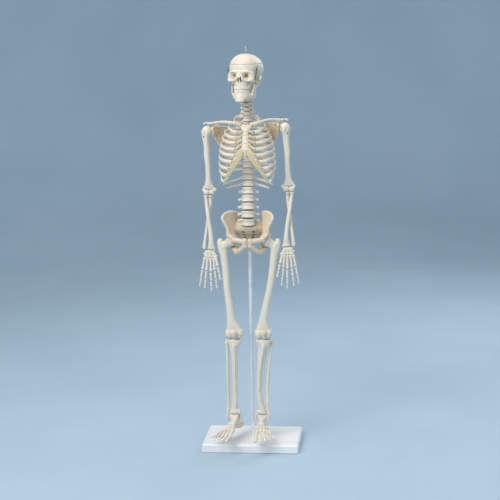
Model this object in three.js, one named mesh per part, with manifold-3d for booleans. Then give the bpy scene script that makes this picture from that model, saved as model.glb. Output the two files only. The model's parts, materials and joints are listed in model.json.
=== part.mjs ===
// Human skeleton model on a stand: about half life size, cast in white plastic.
// Millimetres, +Z up. The origin is the centre of the base plate's underside, on the axis of the
// support rod. The skeleton faces -Y, so its right side is at -X and its left side at +X.
import * as THREE from 'three';
import { mergeVertices } from 'three/addons/utils/BufferGeometryUtils.js';
import { ConvexGeometry } from 'three/addons/geometries/ConvexGeometry.js';
import Module from 'manifold-3d';

const wasm = await Module();
wasm.setup();

// ---------------------------------------------------------------- driving dimensions
// Stand
const plateWidth = 200;
const plateDepth = 140;
const plateThickness = 18;
const plateBevel = 3;
const rodDiameter = 8;
const rodFootDepth = 12; // of the rod in the plate
const rodHeadDepth = 24; // of the rod in the sacrum
const fitGap = 0.35; // between fixed pieces that touch
const slideGap = 0.5; // around the rod's head and in the moving joints

// Heights of the skeleton, from the soles up
const footClearance = 14; // soles above the plate
const ankleHeight = 33;
const shankLength = 178;
const thighLength = 194;
const sacrumRise = 33; // hip centre to the top of the sacrum
const lumbarLength = 78;
const thoracicLength = 145;
const neckLength = 62;

// Spacing of the paired joints and the sideways drift of the legs
const hipSpacing = 72;
const kneeSpacing = 61;
const kneeDrift = -2.5;
const ankleSpacing = 57;
const ankleDrift = -6;
const hipY = -26;
const kneeY = -28;
const ankleY = -26;
const turnOut = { right: 20, left: 8 }; // degrees

// Arms
const shoulderSpacing = 158;
const shoulderDrop = 29; // below the base of the neck
const shoulderDrift = -4; // the sideways drift of both shoulders
const shoulderY = -10;
const shoulderInset = 22; // from the shoulder centre in to the widest rib
const elbowRise = 102; // above the hips
const elbowSpacing = 165;
const elbowY = -8;
const wristDrop = 19; // below the hips
const wristSpacing = 164;
const wristY = -24;
const armLean = 6; // how much lower the right arm hangs, in all

// Joint sizes
const femoralHeadRadius = 10.3;
const humeralHeadRadius = 10.8;
const condyleRadius = 10.4;
const trochleaRadius = 5.6;
const talusRadius = 7.6;
const kneeHalfWidth = 17.5;
const shaftRadius = { femur: 7.1, tibia: 6.3, fibula: 3.4, humerus: 5.8, radius: 3.4, ulna: 3.4 };

// Chest
const notchDrop = 17; // jugular notch below the base of the neck
const sternumLength = 50;
const xiphoidLength = 15;
const sternumTopY = -45;
const sternumLowY = -67;
const sternumHalfWidth = 6.6;
const sternumHalfDepth = 2.4;
const cartilageFoot = 12.5; // least distance of a rib's bone end from the midline
const ribHalfHeight = 3.1;
const ribHalfDepth = 1.5;

// Spine
const coreRadius = 1.3;
const coreClearance = 1.1;
const spineGap = 1.3; // between one vertebra and the next
const lumbarHalfWidth = 11.8;
const cervicalHalfWidth = 7;

// Skull
const headYaw = -13; // degrees, towards its own right
const skullHeight = 60.4; // pivot to crown
const skullHalfWidth = 33.5;
const skullHalfLength = 42;
const skullWall = 3;
const capCutHeight = 41;
const jawHingeY = -8;
const jawHingeZ = 6;
const jawHingeSpacing = 49;
const springRadius = 1.2;
const eyeletHeight = 16.5;

// ---------------------------------------------------------------- worked out from them
const solesZ = plateThickness + footClearance;
const ankleZ = solesZ + ankleHeight;
const kneeZ = ankleZ + shankLength;
const hipZ = kneeZ + thighLength;
const lumbarBaseZ = hipZ + sacrumRise;
const thoraxBaseZ = lumbarBaseZ + lumbarLength;
const neckBaseZ = thoraxBaseZ + thoracicLength;
const headPivotZ = neckBaseZ + neckLength;
const shoulderZ = neckBaseZ - shoulderDrop;
const upperArmLength = shoulderZ - hipZ - elbowRise;
const forearmLength = elbowRise + wristDrop;
const chestHalfWidth = shoulderSpacing / 2 - shoulderInset;
const rodRadius = rodDiameter / 2;
const notchZ = neckBaseZ - notchDrop;
const sternumLowZ = notchZ - sternumLength;
const SIDES = [['right', -1], ['left', 1]];

// ---------------------------------------------------------------- materials
const finish = (color, roughness, metalness) =>
  new THREE.MeshStandardMaterial({ color, roughness, metalness });
const plastic = (color, roughness = 0.5) => finish(color, roughness, 0);
const metal = (color, roughness = 0.3) => finish(color, roughness, 1);
const boneWhite = plastic(0xe6dfd0);
const boneWarm = plastic(0xdccfba);
const capWarm = plastic(0xdfcdb6);
const plateWhite = plastic(0xe4e8ea, 0.35);
const rodSteel = metal(0xd4d8dc, 0.25);
const coreSteel = metal(0x9a9fa3, 0.4);
const springSteel = metal(0x3c3836, 0.45);
const eyeletSteel = metal(0xc3cdd4, 0.3);

// ---------------------------------------------------------------- solids
function solidOf(geometry) {
  const bare = geometry.index ? geometry.toNonIndexed() : geometry.clone();
  bare.deleteAttribute('normal');
  bare.deleteAttribute('uv');
  const merged = mergeVertices(bare, 1e-4);
  const vertProperties = merged.attributes.position.array;
  const faces = Array.from(merged.index.array);
  const build = (triVerts) =>
    new wasm.Manifold(new wasm.Mesh({ numProp: 3, vertProperties, triVerts: new Uint32Array(triVerts) }));
  const solid = build(faces);
  if (solid.volume() > 0) return solid;
  // A profile drawn the other way round faces inwards, so its faces are turned.
  const turned = faces.map((_, i) => faces[i - (i % 3) + (2 - (i % 3))]);
  return build(turned);
}

function join(...solids) {
  return solids.flat().reduce((whole, piece) => whole.add(piece));
}

const skeleton = new THREE.Group();

function addPiece(name, solid, material, parent = skeleton) {
  const made = solid.getMesh();
  const geometry = new THREE.BufferGeometry();
  geometry.setAttribute('position', new THREE.BufferAttribute(new Float32Array(made.vertProperties), 3));
  geometry.setIndex(new THREE.BufferAttribute(new Uint32Array(made.triVerts), 1));
  geometry.computeVertexNormals();
  const mesh = new THREE.Mesh(geometry, material);
  mesh.name = name;
  parent.add(mesh);
  return mesh;
}

function groupAt(x, y, z, parent = skeleton) {
  const group = new THREE.Group();
  group.position.set(x, y, z);
  parent.add(group);
  return group;
}

// A bone that follows stations of [x, y, z, half width, half depth]. Its width lies along `across`.
function bone(stations, { sides = 6, steps = 2, across = [1, 0, 0] } = {}) {
  const centres = new THREE.CatmullRomCurve3(stations.map(([x, y, z]) => new THREE.Vector3(x, y, z)));
  const halves = new THREE.CatmullRomCurve3(
    stations.map(([, , , wide, deep = wide]) => new THREE.Vector3(wide, deep, 0)),
  );
  const rings = (stations.length - 1) * steps;
  const geometry = new THREE.CylinderGeometry(1, 1, 1, sides, rings);
  const position = geometry.attributes.position;
  const reference = new THREE.Vector3(...across);
  for (let i = 0; i < position.count; i += 1) {
    const t = Math.min(Math.max(0.5 - position.getY(i), 0), 1);
    const tangent = centres.getTangent(t);
    const depthwise = new THREE.Vector3().crossVectors(tangent, reference).normalize();
    const widthwise = new THREE.Vector3().crossVectors(depthwise, tangent);
    const half = halves.getPoint(t);
    const point = centres.getPoint(t);
    point.addScaledVector(widthwise, position.getX(i) * half.x);
    point.addScaledVector(depthwise, position.getZ(i) * half.y);
    position.setXYZ(i, point.x, point.y, point.z);
  }
  return solidOf(geometry);
}

function ball([x, y, z], radii, [wide, high] = [12, 8]) {
  const [rx, ry, rz] = Array.isArray(radii) ? radii : [radii, radii, radii];
  const geometry = new THREE.SphereGeometry(1, wide, high);
  geometry.rotateX(Math.PI / 2);
  geometry.scale(rx, ry, rz);
  geometry.translate(x, y, z);
  return solidOf(geometry);
}

function box(low, high) {
  const size = high.map((value, i) => value - low[i]);
  const geometry = new THREE.BoxGeometry(...size);
  geometry.translate(...high.map((value, i) => (value + low[i]) / 2));
  return solidOf(geometry);
}

// A round bar between two heights, standing on the point [x, y].
function post(radius, lowZ, highZ, [x, y] = [0, 0], sides = 16) {
  const geometry = new THREE.CylinderGeometry(radius, radius, highZ - lowZ, sides);
  geometry.rotateX(Math.PI / 2);
  geometry.translate(x, y, (lowZ + highZ) / 2);
  return solidOf(geometry);
}

// A round bar along X, as the condyles of a hinge joint are.
function crossBar(radius, halfWidth, [x, y, z] = [0, 0, 0], sides = 10) {
  const geometry = new THREE.CylinderGeometry(radius, radius, halfWidth * 2, sides);
  geometry.rotateZ(Math.PI / 2);
  geometry.translate(x, y, z);
  return solidOf(geometry);
}

function hull(points) {
  return solidOf(new ConvexGeometry(points.map(([x, y, z]) => new THREE.Vector3(x, y, z))));
}

// ---------------------------------------------------------------- stand
function basePlate() {
  const corners = (inset, z) =>
    [[-1, -1], [1, -1], [1, 1], [-1, 1]].map(([sx, sy]) =>
      [sx * (plateWidth / 2 - inset), sy * (plateDepth / 2 - inset), z]);
  const shoulder = plateThickness - plateBevel;
  const slab = hull([...corners(0, 0), ...corners(0, shoulder), ...corners(plateBevel, plateThickness)]);
  const rodSeat = post(rodRadius + fitGap, plateThickness - rodFootDepth, plateThickness + 1, [0, 0], 12);
  return slab.subtract(rodSeat);
}

// ---------------------------------------------------------------- spine
// Front-to-back line of the vertebral bodies, by height.
const spineKnots = [
  [lumbarBaseZ - 12, -25],
  [lumbarBaseZ, -28],
  [lumbarBaseZ + lumbarLength * 0.35, -29.5],
  [thoraxBaseZ, -19],
  [thoraxBaseZ + thoracicLength * 0.4, -6],
  [thoraxBaseZ + thoracicLength * 0.7, -6.5],
  [neckBaseZ, -16],
  [neckBaseZ + neckLength * 0.5, -22],
  [headPivotZ, -25],
  [headPivotZ + 12, -25],
];
const spineLine = new THREE.CubicInterpolant(
  new Float32Array(spineKnots.map(([z]) => z)),
  new Float32Array(spineKnots.map(([, y]) => y)),
  1,
);
const spineY = (z) => spineLine.evaluate(z)[0];
const leanSpan = 7; // the lean is taken over this much height either side
const spineLean = (z) => -Math.atan((spineY(z + leanSpan) - spineY(z - leanSpan)) / (2 * leanSpan));
const headY = spineY(headPivotZ);

const regions = [
  { letter: 'l', count: 5, lowZ: lumbarBaseZ, highZ: thoraxBaseZ },
  { letter: 't', count: 12, lowZ: thoraxBaseZ, highZ: neckBaseZ },
  { letter: 'c', count: 7, lowZ: neckBaseZ, highZ: headPivotZ },
];

// Every vertebra from L5 up to C1, with its middle height and its share of the spine.
const vertebrae = regions.flatMap(({ letter, count, lowZ, highZ }) =>
  Array.from({ length: count }, (_, i) => {
    const pitch = (highZ - lowZ) / count;
    return { name: letter + (count - i), letter, pitch, z: lowZ + pitch * (i + 0.5) };
  }));
const middleOf = Object.fromEntries(vertebrae.map(({ name, z }) => [name, z]));

function vertebraHalfWidth(z) {
  const share = (z - lumbarBaseZ) / (headPivotZ - lumbarBaseZ);
  return THREE.MathUtils.lerp(lumbarHalfWidth, cervicalHalfWidth, Math.min(1, share * 1.15));
}

// The body with its disc underneath, bored for the spine's core.
function vertebralBody(halfWidth, height) {
  const bore = coreRadius + coreClearance;
  const profile = [
    [bore, -height / 2],
    [halfWidth * 0.96, -height / 2],
    [halfWidth * 0.86, height * 0.05],
    [halfWidth, height / 2],
    [bore, height / 2],
    [bore, -height / 2],
  ];
  const geometry = new THREE.LatheGeometry(profile.map(([r, z]) => new THREE.Vector2(r, z)), 8);
  geometry.rotateX(Math.PI / 2);
  geometry.scale(1, 0.82, 1);
  return solidOf(geometry);
}

// Reach of the wings and the spine by region, over the body's half width, with the wings' half height.
const REACH = {
  l: { wing: 1.9, spinous: 1.15, drop: 0.25, wingBack: 1, wingHeight: 2.9 },
  t: { wing: 1.55, spinous: 1.1, drop: 0.75, wingBack: 1.7, wingHeight: 1.9 },
  c: { wing: 1.65, spinous: 1.1, drop: 0.45, wingBack: 0.4, wingHeight: 2.5 },
};

function vertebra({ letter, pitch, z }) {
  const w = vertebraHalfWidth(z);
  const { wing, spinous, drop, wingBack, wingHeight } = REACH[letter];
  const rise = pitch * 0.1;
  const arch = bone([
    [w * 0.66, w * 0.45, rise, 2, 1.6],
    [w * 0.72, w * 1.1, rise, 2, 1.4],
    [0, w * 1.6, rise - 0.6, 2.2, 1.5],
    [-w * 0.72, w * 1.1, rise, 2, 1.4],
    [-w * 0.66, w * 0.45, rise, 2, 1.6],
  ], { sides: 4, steps: 1, across: [0, 0, 1] });
  const spine = bone([
    [0, w * 1.6, rise - 0.6, 1.3, 2.4],
    [0, w * (1.6 + spinous), rise - w * drop, 1.3, 2],
  ], { sides: 4, steps: 1 });
  const wings = SIDES.map(([, s]) => bone([
    [s * w * 0.6, w * (wingBack - 0.1) * 0.8, rise, wingHeight * 0.9, 1.6],
    [s * w * wing, w * wingBack, rise + 0.4, wingHeight, 1.5],
  ], { sides: 4, steps: 1, across: [0, 0, 1] }));
  return join(vertebralBody(w, (pitch - spineGap) / Math.cos(spineLean(z))), arch, spine, wings);
}

// Atlas and axis are one casting: the axis carries the atlas ring on two side columns.
function atlasAndAxis(axisMiddleZ, atlasMiddleZ, pitch) {
  const w = cervicalHalfWidth;
  const rise = atlasMiddleZ - axisMiddleZ;
  const axis = vertebra({ letter: 'c', pitch, z: axisMiddleZ });
  const ringProfile = [[5, -2], [8.4, -2], [8.8, 0], [8.4, 2], [5, 2], [5, -2]];
  const geometry = new THREE.LatheGeometry(ringProfile.map(([r, z]) => new THREE.Vector2(r, z)), 10);
  geometry.rotateX(Math.PI / 2);
  geometry.translate(0, 2.5, rise);
  const columns = SIDES.map(([, s]) => post(2.4, 0, rise + 1.6, [s * w * 0.85, 1.5], 6));
  const wings = SIDES.map(([, s]) => bone([
    [s * 6, 2, rise, 1.8, 2.2],
    [s * 13.5, 3.5, rise - 0.5, 1.5, 1.6],
  ], { sides: 4, steps: 1, across: [0, 0, 1] }));
  return join(axis, solidOf(geometry), columns, wings);
}

// A floating rib, in the vertebra's own frame.
function floatingRib(side, halfWidth, tip) {
  return bone([
    [side * halfWidth * 0.8, 3, 2, 2.2, 1.5],
    [side * 20, 12, -1, 2.2, 1.4],
    [side * (tip[0] * 0.78), tip[1] * 0.3 + 8, tip[2] * 0.55, 2.2, 1.4],
    [side * tip[0], tip[1], tip[2], 1.2, 0.9],
  ], { sides: 5, steps: 2, across: [0, 0, 1] });
}
const floatingTips = { t11: [chestHalfWidth - 7, 0, -14], t12: [chestHalfWidth - 14, 2, -9] };

function spineCore() {
  const lowZ = lumbarBaseZ - 7;
  const highZ = headPivotZ + 7.5;
  const count = 18;
  const points = Array.from({ length: count + 1 }, (_, i) => {
    const z = lowZ + ((highZ - lowZ) * i) / count;
    return new THREE.Vector3(0, z > headPivotZ - 6 ? headY : spineY(z), z);
  });
  const section = new THREE.Shape();
  section.absarc(0, 0, coreRadius, 0, Math.PI * 2);
  const extrudePath = new THREE.CatmullRomCurve3(points);
  return solidOf(new THREE.ExtrudeGeometry(section, { extrudePath, steps: 38, curveSegments: 3 }));
}

// ---------------------------------------------------------------- pelvis
function sacrum() {
  const topY = spineY(lumbarBaseZ);
  const topZ = lumbarBaseZ - spineGap;
  const core = bone([
    [0, topY + 0.5, topZ, 11.2, 8.8],
    [0, topY + 3, topZ - 8, 19, 8],
    [0, -12, topZ - 19, 20, 6.5],
    [0, -4, topZ - 31, 14.5, 5.5],
    [0, -6.6, topZ - 42, 8, 3.6],
    [0, -10, topZ - 50, 3.2, 2.4],
    [0, -13, topZ - 55, 1.8, 1.4],
  ], { sides: 10, steps: 1 });
  const wings = SIDES.map(([, s]) => bone([
    [s * 8, topY + 5, topZ - 6, 6, 6],
    [s * 25.6, topY + 14, topZ - 9, 8, 6.6],
  ], { sides: 8, steps: 1, across: [0, 0, 1] }));
  const socketZ = hipZ - 9;
  const socket = post(rodRadius + 3.4, socketZ, socketZ + rodHeadDepth + 3, [0, 0], 12);
  const crest = bone([
    [0, topY + 9, topZ - 6, 1.6, 3],
    [0, topY + 16, topZ - 14, 1.6, 3],
    [0, 5, topZ - 26, 1.6, 2.4],
  ], { sides: 6, steps: 1 });
  const coreSeat = [0, spineY(lumbarBaseZ - 4)];
  const coreHole = post(coreRadius + coreClearance + 0.4, topZ - 8, topZ + 2, coreSeat, 8);
  const rodHole = post(rodRadius + slideGap, socketZ - 20, socketZ + rodHeadDepth + slideGap, [0, 0], 12);
  return join(core, wings, socket, crest).subtract(coreHole).subtract(rodHole);
}
const rodTopZ = hipZ - 9 + rodHeadDepth;

// One hip bone, about its own hip centre. The side is -1 for right and 1 for left.
function hipBone(s) {
  const fan = [s * 0.55, -0.82, 0.14];
  const inward = hipSpacing / 2;
  const ilium = bone([
    [s * 1, -1, 6, 13, 9],
    [s * 0.6, 0, 17, 15, 4.6],
    [s * 1.2, 2, 31, 21, 2.6],
    [s * 2, 4, 45, 27.5, 2],
    [s * 2.4, 5, 54, 27, 3.2],
    [s * 2.6, 5, 60, 18, 2.8],
  ], { sides: 10, steps: 1, across: fan });
  const cup = ball([0, 0, 0], 15.4, [12, 8]);
  const medial = -s * (inward - 4.6);
  const upperRamus = bone([
    [s * 0, -9, 3, 7, 6],
    [-s * 14, -19, 4, 5.4, 4.4],
    [medial, -24, 1.5, 5.4, 3.6],
  ], { sides: 6, steps: 1, across: [0, 0, 1] });
  const symphysis = bone([
    [medial, -24, 6, 4, 3.6],
    [medial, -22, -9, 4, 3.4],
  ], { sides: 6, steps: 1 });
  const lowerRamus = bone([
    [medial, -21.5, -6, 4, 3.4],
    [-s * 22, -15, -18.5, 4.6, 3.6],
    [-s * 12, -4, -26.5, 5.8, 6],
    [-s * 7, 4, -21, 6.4, 6.8],
    [-s * 2, 6, -6, 7.5, 7.5],
  ], { sides: 6, steps: 1 });
  const socket = ball([0, 0, 0], femoralHeadRadius + slideGap + 0.3, [12, 8]);
  const mouthX = [s * 3.5, s * 40].sort((a, b) => a - b);
  const mouth = box([mouthX[0], -16.5, -16.5], [mouthX[1], 16.5, 16.5]);
  return join(ilium, cup, upperRamus, symphysis, lowerRamus).subtract(mouth).subtract(socket);
}

// ---------------------------------------------------------------- legs
function femur(s, drop, shiftX, shiftY) {
  const shaft = shaftRadius.femur;
  const lateral = s * 17;
  const head = ball([0, 0, 0], femoralHeadRadius, [10, 6]);
  const neck = bone([
    [s * 2, 0, -0.5, 7, 6.6],
    [lateral * 0.6, 1, -4.6, 6.8, 6.2],
    [lateral * 1.1, 3, -9.5, 8, 8],
  ], { sides: 8, steps: 1, across: [0, 0, 1] });
  const trochanter = bone([
    [lateral + s * 7, 4, 2, 5.4, 5.4],
    [lateral + s * 6.4, 4, -8, 7.2, 7.8],
    [lateral + s * 1, 3, -24, 7, 7.4],
  ], { sides: 6, steps: 1 });
  const lesserTrochanter = ball([lateral * 0.6, 5, -24], [4, 3.4, 5], [6, 4]);
  const length = bone([
    [lateral, 3, -14, 9, 8.4],
    [lateral * 0.95, 1, -36, shaft + 0.8, shaft + 0.6],
    [lateral * 0.45 + shiftX * 0.3, shiftY * 0.5 - 1, -drop * 0.5, shaft, shaft],
    [shiftX * 0.8, shiftY - 1, -drop * 0.82, shaft + 2.2, shaft + 0.4],
    [shiftX, shiftY - 0.6, -drop + 9, kneeHalfWidth - 3, shaft + 1.4],
  ], { sides: 8, steps: 1 });
  const condyles = SIDES.map(([, side]) =>
    crossBar(condyleRadius, 6.4, [shiftX + side * (kneeHalfWidth - 7.2), shiftY, -drop]));
  const bridge = crossBar(condyleRadius - 3, kneeHalfWidth - 4, [shiftX, shiftY, -drop]);
  return join(head, neck, trochanter, lesserTrochanter, length, condyles, bridge);
}

function patella() {
  return ball([0, -condyleRadius - 4.2 + fitGap, 4], [8, 3.6, 8.4], [8, 6]);
}

function tibia(s, drop, shiftX, shiftY) {
  const shaft = shaftRadius.tibia;
  const topZ = -condyleRadius - slideGap - 0.4;
  const plateau = bone([
    [0, 0.5, topZ, kneeHalfWidth - 1.8, 11.6],
    [0, 0.5, topZ - 4, kneeHalfWidth - 1.4, 11.6],
    [0, -0.5, topZ - 13, shaft + 3.6, shaft + 2.4],
    [shiftX * 0.2, -1.5, topZ - 34, shaft + 0.6, shaft + 0.8],
    [shiftX * 0.6, shiftY * 0.5 - 2, -drop * 0.6, shaft - 0.6, shaft - 0.4],
    [shiftX * 0.9, shiftY - 1, -drop + 26, shaft - 0.2, shaft - 0.6],
    [shiftX, shiftY, -drop + talusRadius + 2, 11, 8.6],
  ], { sides: 8, steps: 1 });
  const malleolus = bone([
    [shiftX - s * 9.4, shiftY - 1, -drop + 13, 3.6, 6],
    [shiftX - s * 12.2, shiftY, -drop + 4, 2.4, 5.4],
    [shiftX - s * 12.4, shiftY, -drop - 4, 1.6, 3.4],
  ], { sides: 8, steps: 1 });
  const arch = crossBar(talusRadius + slideGap + 0.2, 10.2, [shiftX, shiftY, -drop]);
  const tuberosity = ball([0, -8.5, topZ - 14], [4, 3.6, 6], [8, 6]);
  return join(plateau, tuberosity, malleolus.subtract(arch)).subtract(arch);
}

function fibula(s, drop, shiftX, shiftY) {
  const r = shaftRadius.fibula;
  return bone([
    [s * 16.6, 7, -condyleRadius - 6, 3, 3],
    [s * 17.2, 7, -condyleRadius - 12, 4, 4],
    [s * 15, 5, -condyleRadius - 26, r, r],
    [s * 14 + shiftX * 0.5, 4, -drop * 0.55, r - 0.2, r - 0.2],
    [s * 13.4 + shiftX, shiftY + 1, -drop + 28, r, r],
    [s * 15 + shiftX, shiftY, -drop + 3, 3.2, 5],
    [s * 15.4 + shiftX, shiftY, -drop - 9, 2, 3],
  ], { sides: 6, steps: 1 });
}

// A foot about its ankle centre, toes towards -Y, with the great toe on the inner side.
function foot(s) {
  const sole = -ankleHeight;
  const talus = join(
    crossBar(talusRadius, 8.6),
    bone([[0, 1, -3, 8.4, 8.4], [-s * 2, -12, -8, 6.4, 6], [-s * 3, -19, -10, 6.6, 5.6]], { steps: 1 }),
  );
  const heel = bone([
    [s * 0.5, -10, sole + 15, 6, 6],
    [s * 1, 4, sole + 15, 7, 8],
    [s * 0.5, 18, sole + 12, 6.6, 9],
    [0, 27.5, sole + 10.5, 4.6, 7.4],
  ], { steps: 1 });
  const midfoot = bone([
    [0, -8, sole + 17, 9, 7],
    [0, -20, sole + 16, 12.6, 7],
    [0, -34, sole + 14, 14, 5.4],
  ], { steps: 1 });
  const rays = [
    { x: 11.5, tip: 19, knuckle: 60, end: 80, r: 3.6 },
    { x: 5, tip: 8.5, knuckle: 61, end: 79, r: 2.6 },
    { x: -1, tip: -2, knuckle: 58, end: 76, r: 2.4 },
    { x: -6.5, tip: -12, knuckle: 54, end: 72, r: 2.3 },
    { x: -11.5, tip: -21, knuckle: 49, end: 66, r: 2.3 },
  ].map(({ x, tip, knuckle, end, r }) => {
    const at = (share) => -s * THREE.MathUtils.lerp(x, tip, share);
    return bone([
      [at(0), -31, sole + 13, r + 0.8, r + 1],
      [at(0.35), -42, sole + 10.5, r - 0.3, r],
      [at(0.7), -knuckle, sole + r + 2.6, r + 0.7, r + 0.9],
      [at(0.85), -(knuckle + end) / 2, sole + r + 3.4, r * 0.8, r * 0.75],
      [at(1), -end, sole + r + 1.8, r * 0.7, r * 0.6],
    ], { sides: 4, steps: 1 });
  });
  return join(talus, heel, midfoot, rays);
}

// ---------------------------------------------------------------- chest
function sternum() {
  const body = bone([
    [0, sternumTopY, notchZ, 7.5, sternumHalfDepth],
    [0, sternumTopY - 3, notchZ - 6, 10, sternumHalfDepth],
    [0, sternumTopY - 7.5, notchZ - 14, 5.6, sternumHalfDepth],
    [0, sternumLowY + 5, sternumLowZ + 14, sternumHalfWidth, sternumHalfDepth],
    [0, sternumLowY, sternumLowZ, 5, sternumHalfDepth],
    [0, sternumLowY - 0.5, sternumLowZ - xiphoidLength * 0.5, 2.2, 1.4],
    [0, sternumLowY + 1, sternumLowZ - xiphoidLength, 1.3, 1],
  ], { sides: 10, steps: 1 });
  return body;
}

// Height and depth on the front of the chest, by the distance below the jugular notch.
const frontY = (drop) => THREE.MathUtils.lerp(sternumTopY, sternumLowY, Math.min(drop / sternumLength, 1));

// Each rib's widest point and bone end, with the cartilage's seat on the sternum for the upper five.
// Widths are shares of the chest's half width. An end is [width, drop, depth] and a seat [x, drop].
const ribs = [
  { wide: 0.44, end: [0.22, 4, 1], seat: [11.4, 4.5] },
  { wide: 0.65, end: [0.28, 15, 1.5], seat: [9, 13] },
  { wide: 0.79, end: [0.315, 26, 2], seat: [8.6, 22] },
  { wide: 0.87, end: [0.325, 36, 2], seat: [8.6, 30] },
  { wide: 0.93, end: [0.335, 48, 1], seat: [8.6, 38] },
  { wide: 0.965, end: [0.35, 60, 1] },
  { wide: 0.99, end: [0.455, 73, 3] },
  { wide: 1, end: [0.58, 87, 7] },
  { wide: 0.98, end: [0.7, 101, 13] },
  { wide: 0.93, end: [0.81, 114, 20] },
];

function ribCage(s) {
  const across = [0, 0, 1];
  const solids = ribs.flatMap(({ wide: wideShare, end: [endShare, endDrop, endDepth], seat }, i) => {
    const wide = Math.max(wideShare * chestHalfWidth, cartilageFoot * 2);
    const endX = Math.max(endShare * chestHalfWidth, cartilageFoot);
    const middle = middleOf[`t${i + 1}`];
    const headZ = middle + 3.5;
    const backY = spineY(middle);
    const w = vertebraHalfWidth(middle);
    const endZ = notchZ - endDrop;
    const endY = frontY(endDrop) + endDepth;
    const fall = headZ - endZ;
    const front = THREE.MathUtils.lerp(endX, wide, 0.62);
    const rib = bone([
      [s * (w + 1.6), backY + 3, headZ, 2, 1.5],
      [s * (w * 1.15 + wide * 0.22), backY + 4.5 + wide * 0.15, headZ - 1, ribHalfHeight, 1.7],
      [s * wide * 0.86, backY + wide * 0.14, headZ - fall * 0.22, ribHalfHeight, ribHalfDepth],
      [s * wide, (backY + endY) / 2 + 4, headZ - fall * 0.48, ribHalfHeight, ribHalfDepth],
      [s * front, endY + (wide - endX) * 0.2, headZ - fall * 0.84, ribHalfHeight, ribHalfDepth],
      [s * endX, endY, endZ, ribHalfHeight + 0.2, ribHalfDepth + 0.2],
    ], { sides: 4, steps: 2, across });
    if (!seat) return [rib];
    const [seatX, seatDrop] = seat;
    const cartilage = bone([
      [s * (endX + 0.6), endY, endZ, 2.4, 1.5],
      [s * seatX, frontY(seatDrop), notchZ - seatDrop, 2, 1.5],
    ], { sides: 4, steps: 1, across });
    return [rib, cartilage];
  });
  const edge = bone([
    [s * 12.2, frontY(4), notchZ - 2, 1.3, 1.6],
    [s * 12.2, frontY(8), notchZ - 8, 1.3, 1.6],
    [s * 9.4, frontY(15), notchZ - 15, 1.3, 1.6],
    [s * 9, frontY(36), notchZ - 36, 1.3, 1.6],
    [s * 8, frontY(47), notchZ - 48, 1.6, 1.6],
  ], { sides: 4, steps: 1 });
  const lowEnds = ribs.slice(5).map(({ end: [share, drop, depth] }) =>
    [s * share * chestHalfWidth, frontY(drop) + depth, notchZ - drop, 4.2, 1.7]);
  const margin = bone([
    [s * 8, frontY(47), notchZ - 46, 2.6, 1.6],
    [s * 13, frontY(50), notchZ - 56, 5, 1.7],
    ...lowEnds,
  ], { sides: 4, steps: 1, across: [s * 0.8, 0, 0.6] });
  return join(solids, edge, margin);
}

// ---------------------------------------------------------------- shoulders and arms
// A collar bone from the sternum out to a shoulder centre `reach` from the midline.
function clavicle(s, reach, dropZ) {
  return bone([
    [s * 10.8, sternumTopY + 1, notchZ + 3.4, 4.4, 3.8],
    [s * 22, sternumTopY - 3, notchZ + 4.4, 3.4, 3],
    [s * (reach * 0.56), sternumTopY + 12, notchZ + 5.4 - dropZ * 0.5, 2.9, 2.9],
    [s * (reach * 0.84), shoulderY - 7, notchZ + 4.6 - dropZ, 3.2, 2.5],
    [s * (reach - 3), shoulderY - 4, notchZ + 3.8 - dropZ, 3.6, 2.4],
  ], { sides: 6, steps: 1, across: [0, 1, 0] });
}

// A shoulder blade, about its own shoulder centre.
function scapula(s) {
  const outline = [
    [-12.6, 1, 6], [-12.6, 1, -8], [-17, 10, -20], [-30, 20.5, -44], [-34.5, 23, -42],
    [-43, 22.5, -4], [-41, 20.5, 5], [-24, 9, 8],
  ];
  const sheet = [];
  for (const [x, y, z] of outline) {
    sheet.push([s * x, y + 1.2, z], [s * (x - 0.9), y + 3, z]);
  }
  const blade = hull(sheet);
  const hollow = hull(outline.map(([x, y, z]) => [s * (x * 0.86 - 3.2), y * 0.88 - 1.4, z * 0.8 - 2])
    .concat([[s * -24, -8, -12]]));
  const glenoid = bone([
    [s * (-humeralHeadRadius - 0.4), 0.4, -1, 5, 7.2],
    [s * (-humeralHeadRadius - 4), 1.4, -1, 4, 5.4],
    [s * (-humeralHeadRadius - 9), 5, -3, 3, 4],
  ], { sides: 8, steps: 1, across: [0, 1, 0] });
  const ridge = bone([
    [s * -42, 24, 0, 2, 2.4],
    [s * -26, 19.5, 5, 3, 2.2],
    [s * -12, 14, 12, 2.6, 3],
    [s * 1, 8, 15.6, 4.4, 1.9],
    [s * 5, 1, 15.6, 3.6, 1.6],
  ], { sides: 6, steps: 1, across: [0, 1, 0] });
  const coracoid = bone([
    [s * -15, 3, 5, 3, 3],
    [s * -14.5, -6, 9, 2.6, 2.6],
    [s * -12, -13, 5.5, 2, 2],
  ], { sides: 6, steps: 1 });
  const socket = ball([0, 0, 0], humeralHeadRadius + slideGap + 0.3, [12, 8]);
  return join(blade.subtract(hollow), glenoid, ridge, coracoid).subtract(socket);
}

function humerus(s, drop, shiftX, shiftY) {
  const r = shaftRadius.humerus;
  const head = ball([0, 0, 0], humeralHeadRadius, [10, 6]);
  const shaft = bone([
    [s * 2, 0, -2, 9, 9],
    [s * 2.4, 0, -14, 7.4, 7.4],
    [s * 1.6 + shiftX * 0.2, shiftY * 0.2, -30, r + 0.4, r + 0.6],
    [shiftX * 0.5, shiftY * 0.5, -drop * 0.55, r, r],
    [shiftX * 0.85, shiftY * 0.85, -drop * 0.83, r + 1.4, r - 0.4],
    [shiftX, shiftY, -drop + 7, 12, 4.6],
  ], { sides: 8, steps: 1 });
  const trochlea = crossBar(trochleaRadius, 10.6, [shiftX, shiftY, -drop]);
  const epicondyle = ball([shiftX - s * 12, shiftY + 0.5, -drop + 4], [4, 3.4, 4], [8, 6]);
  const fossa = ball([shiftX, shiftY + 7, -drop + 8], [5, 5, 6], [8, 6]);
  return join(head, shaft, trochlea, epicondyle).subtract(fossa);
}

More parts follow.
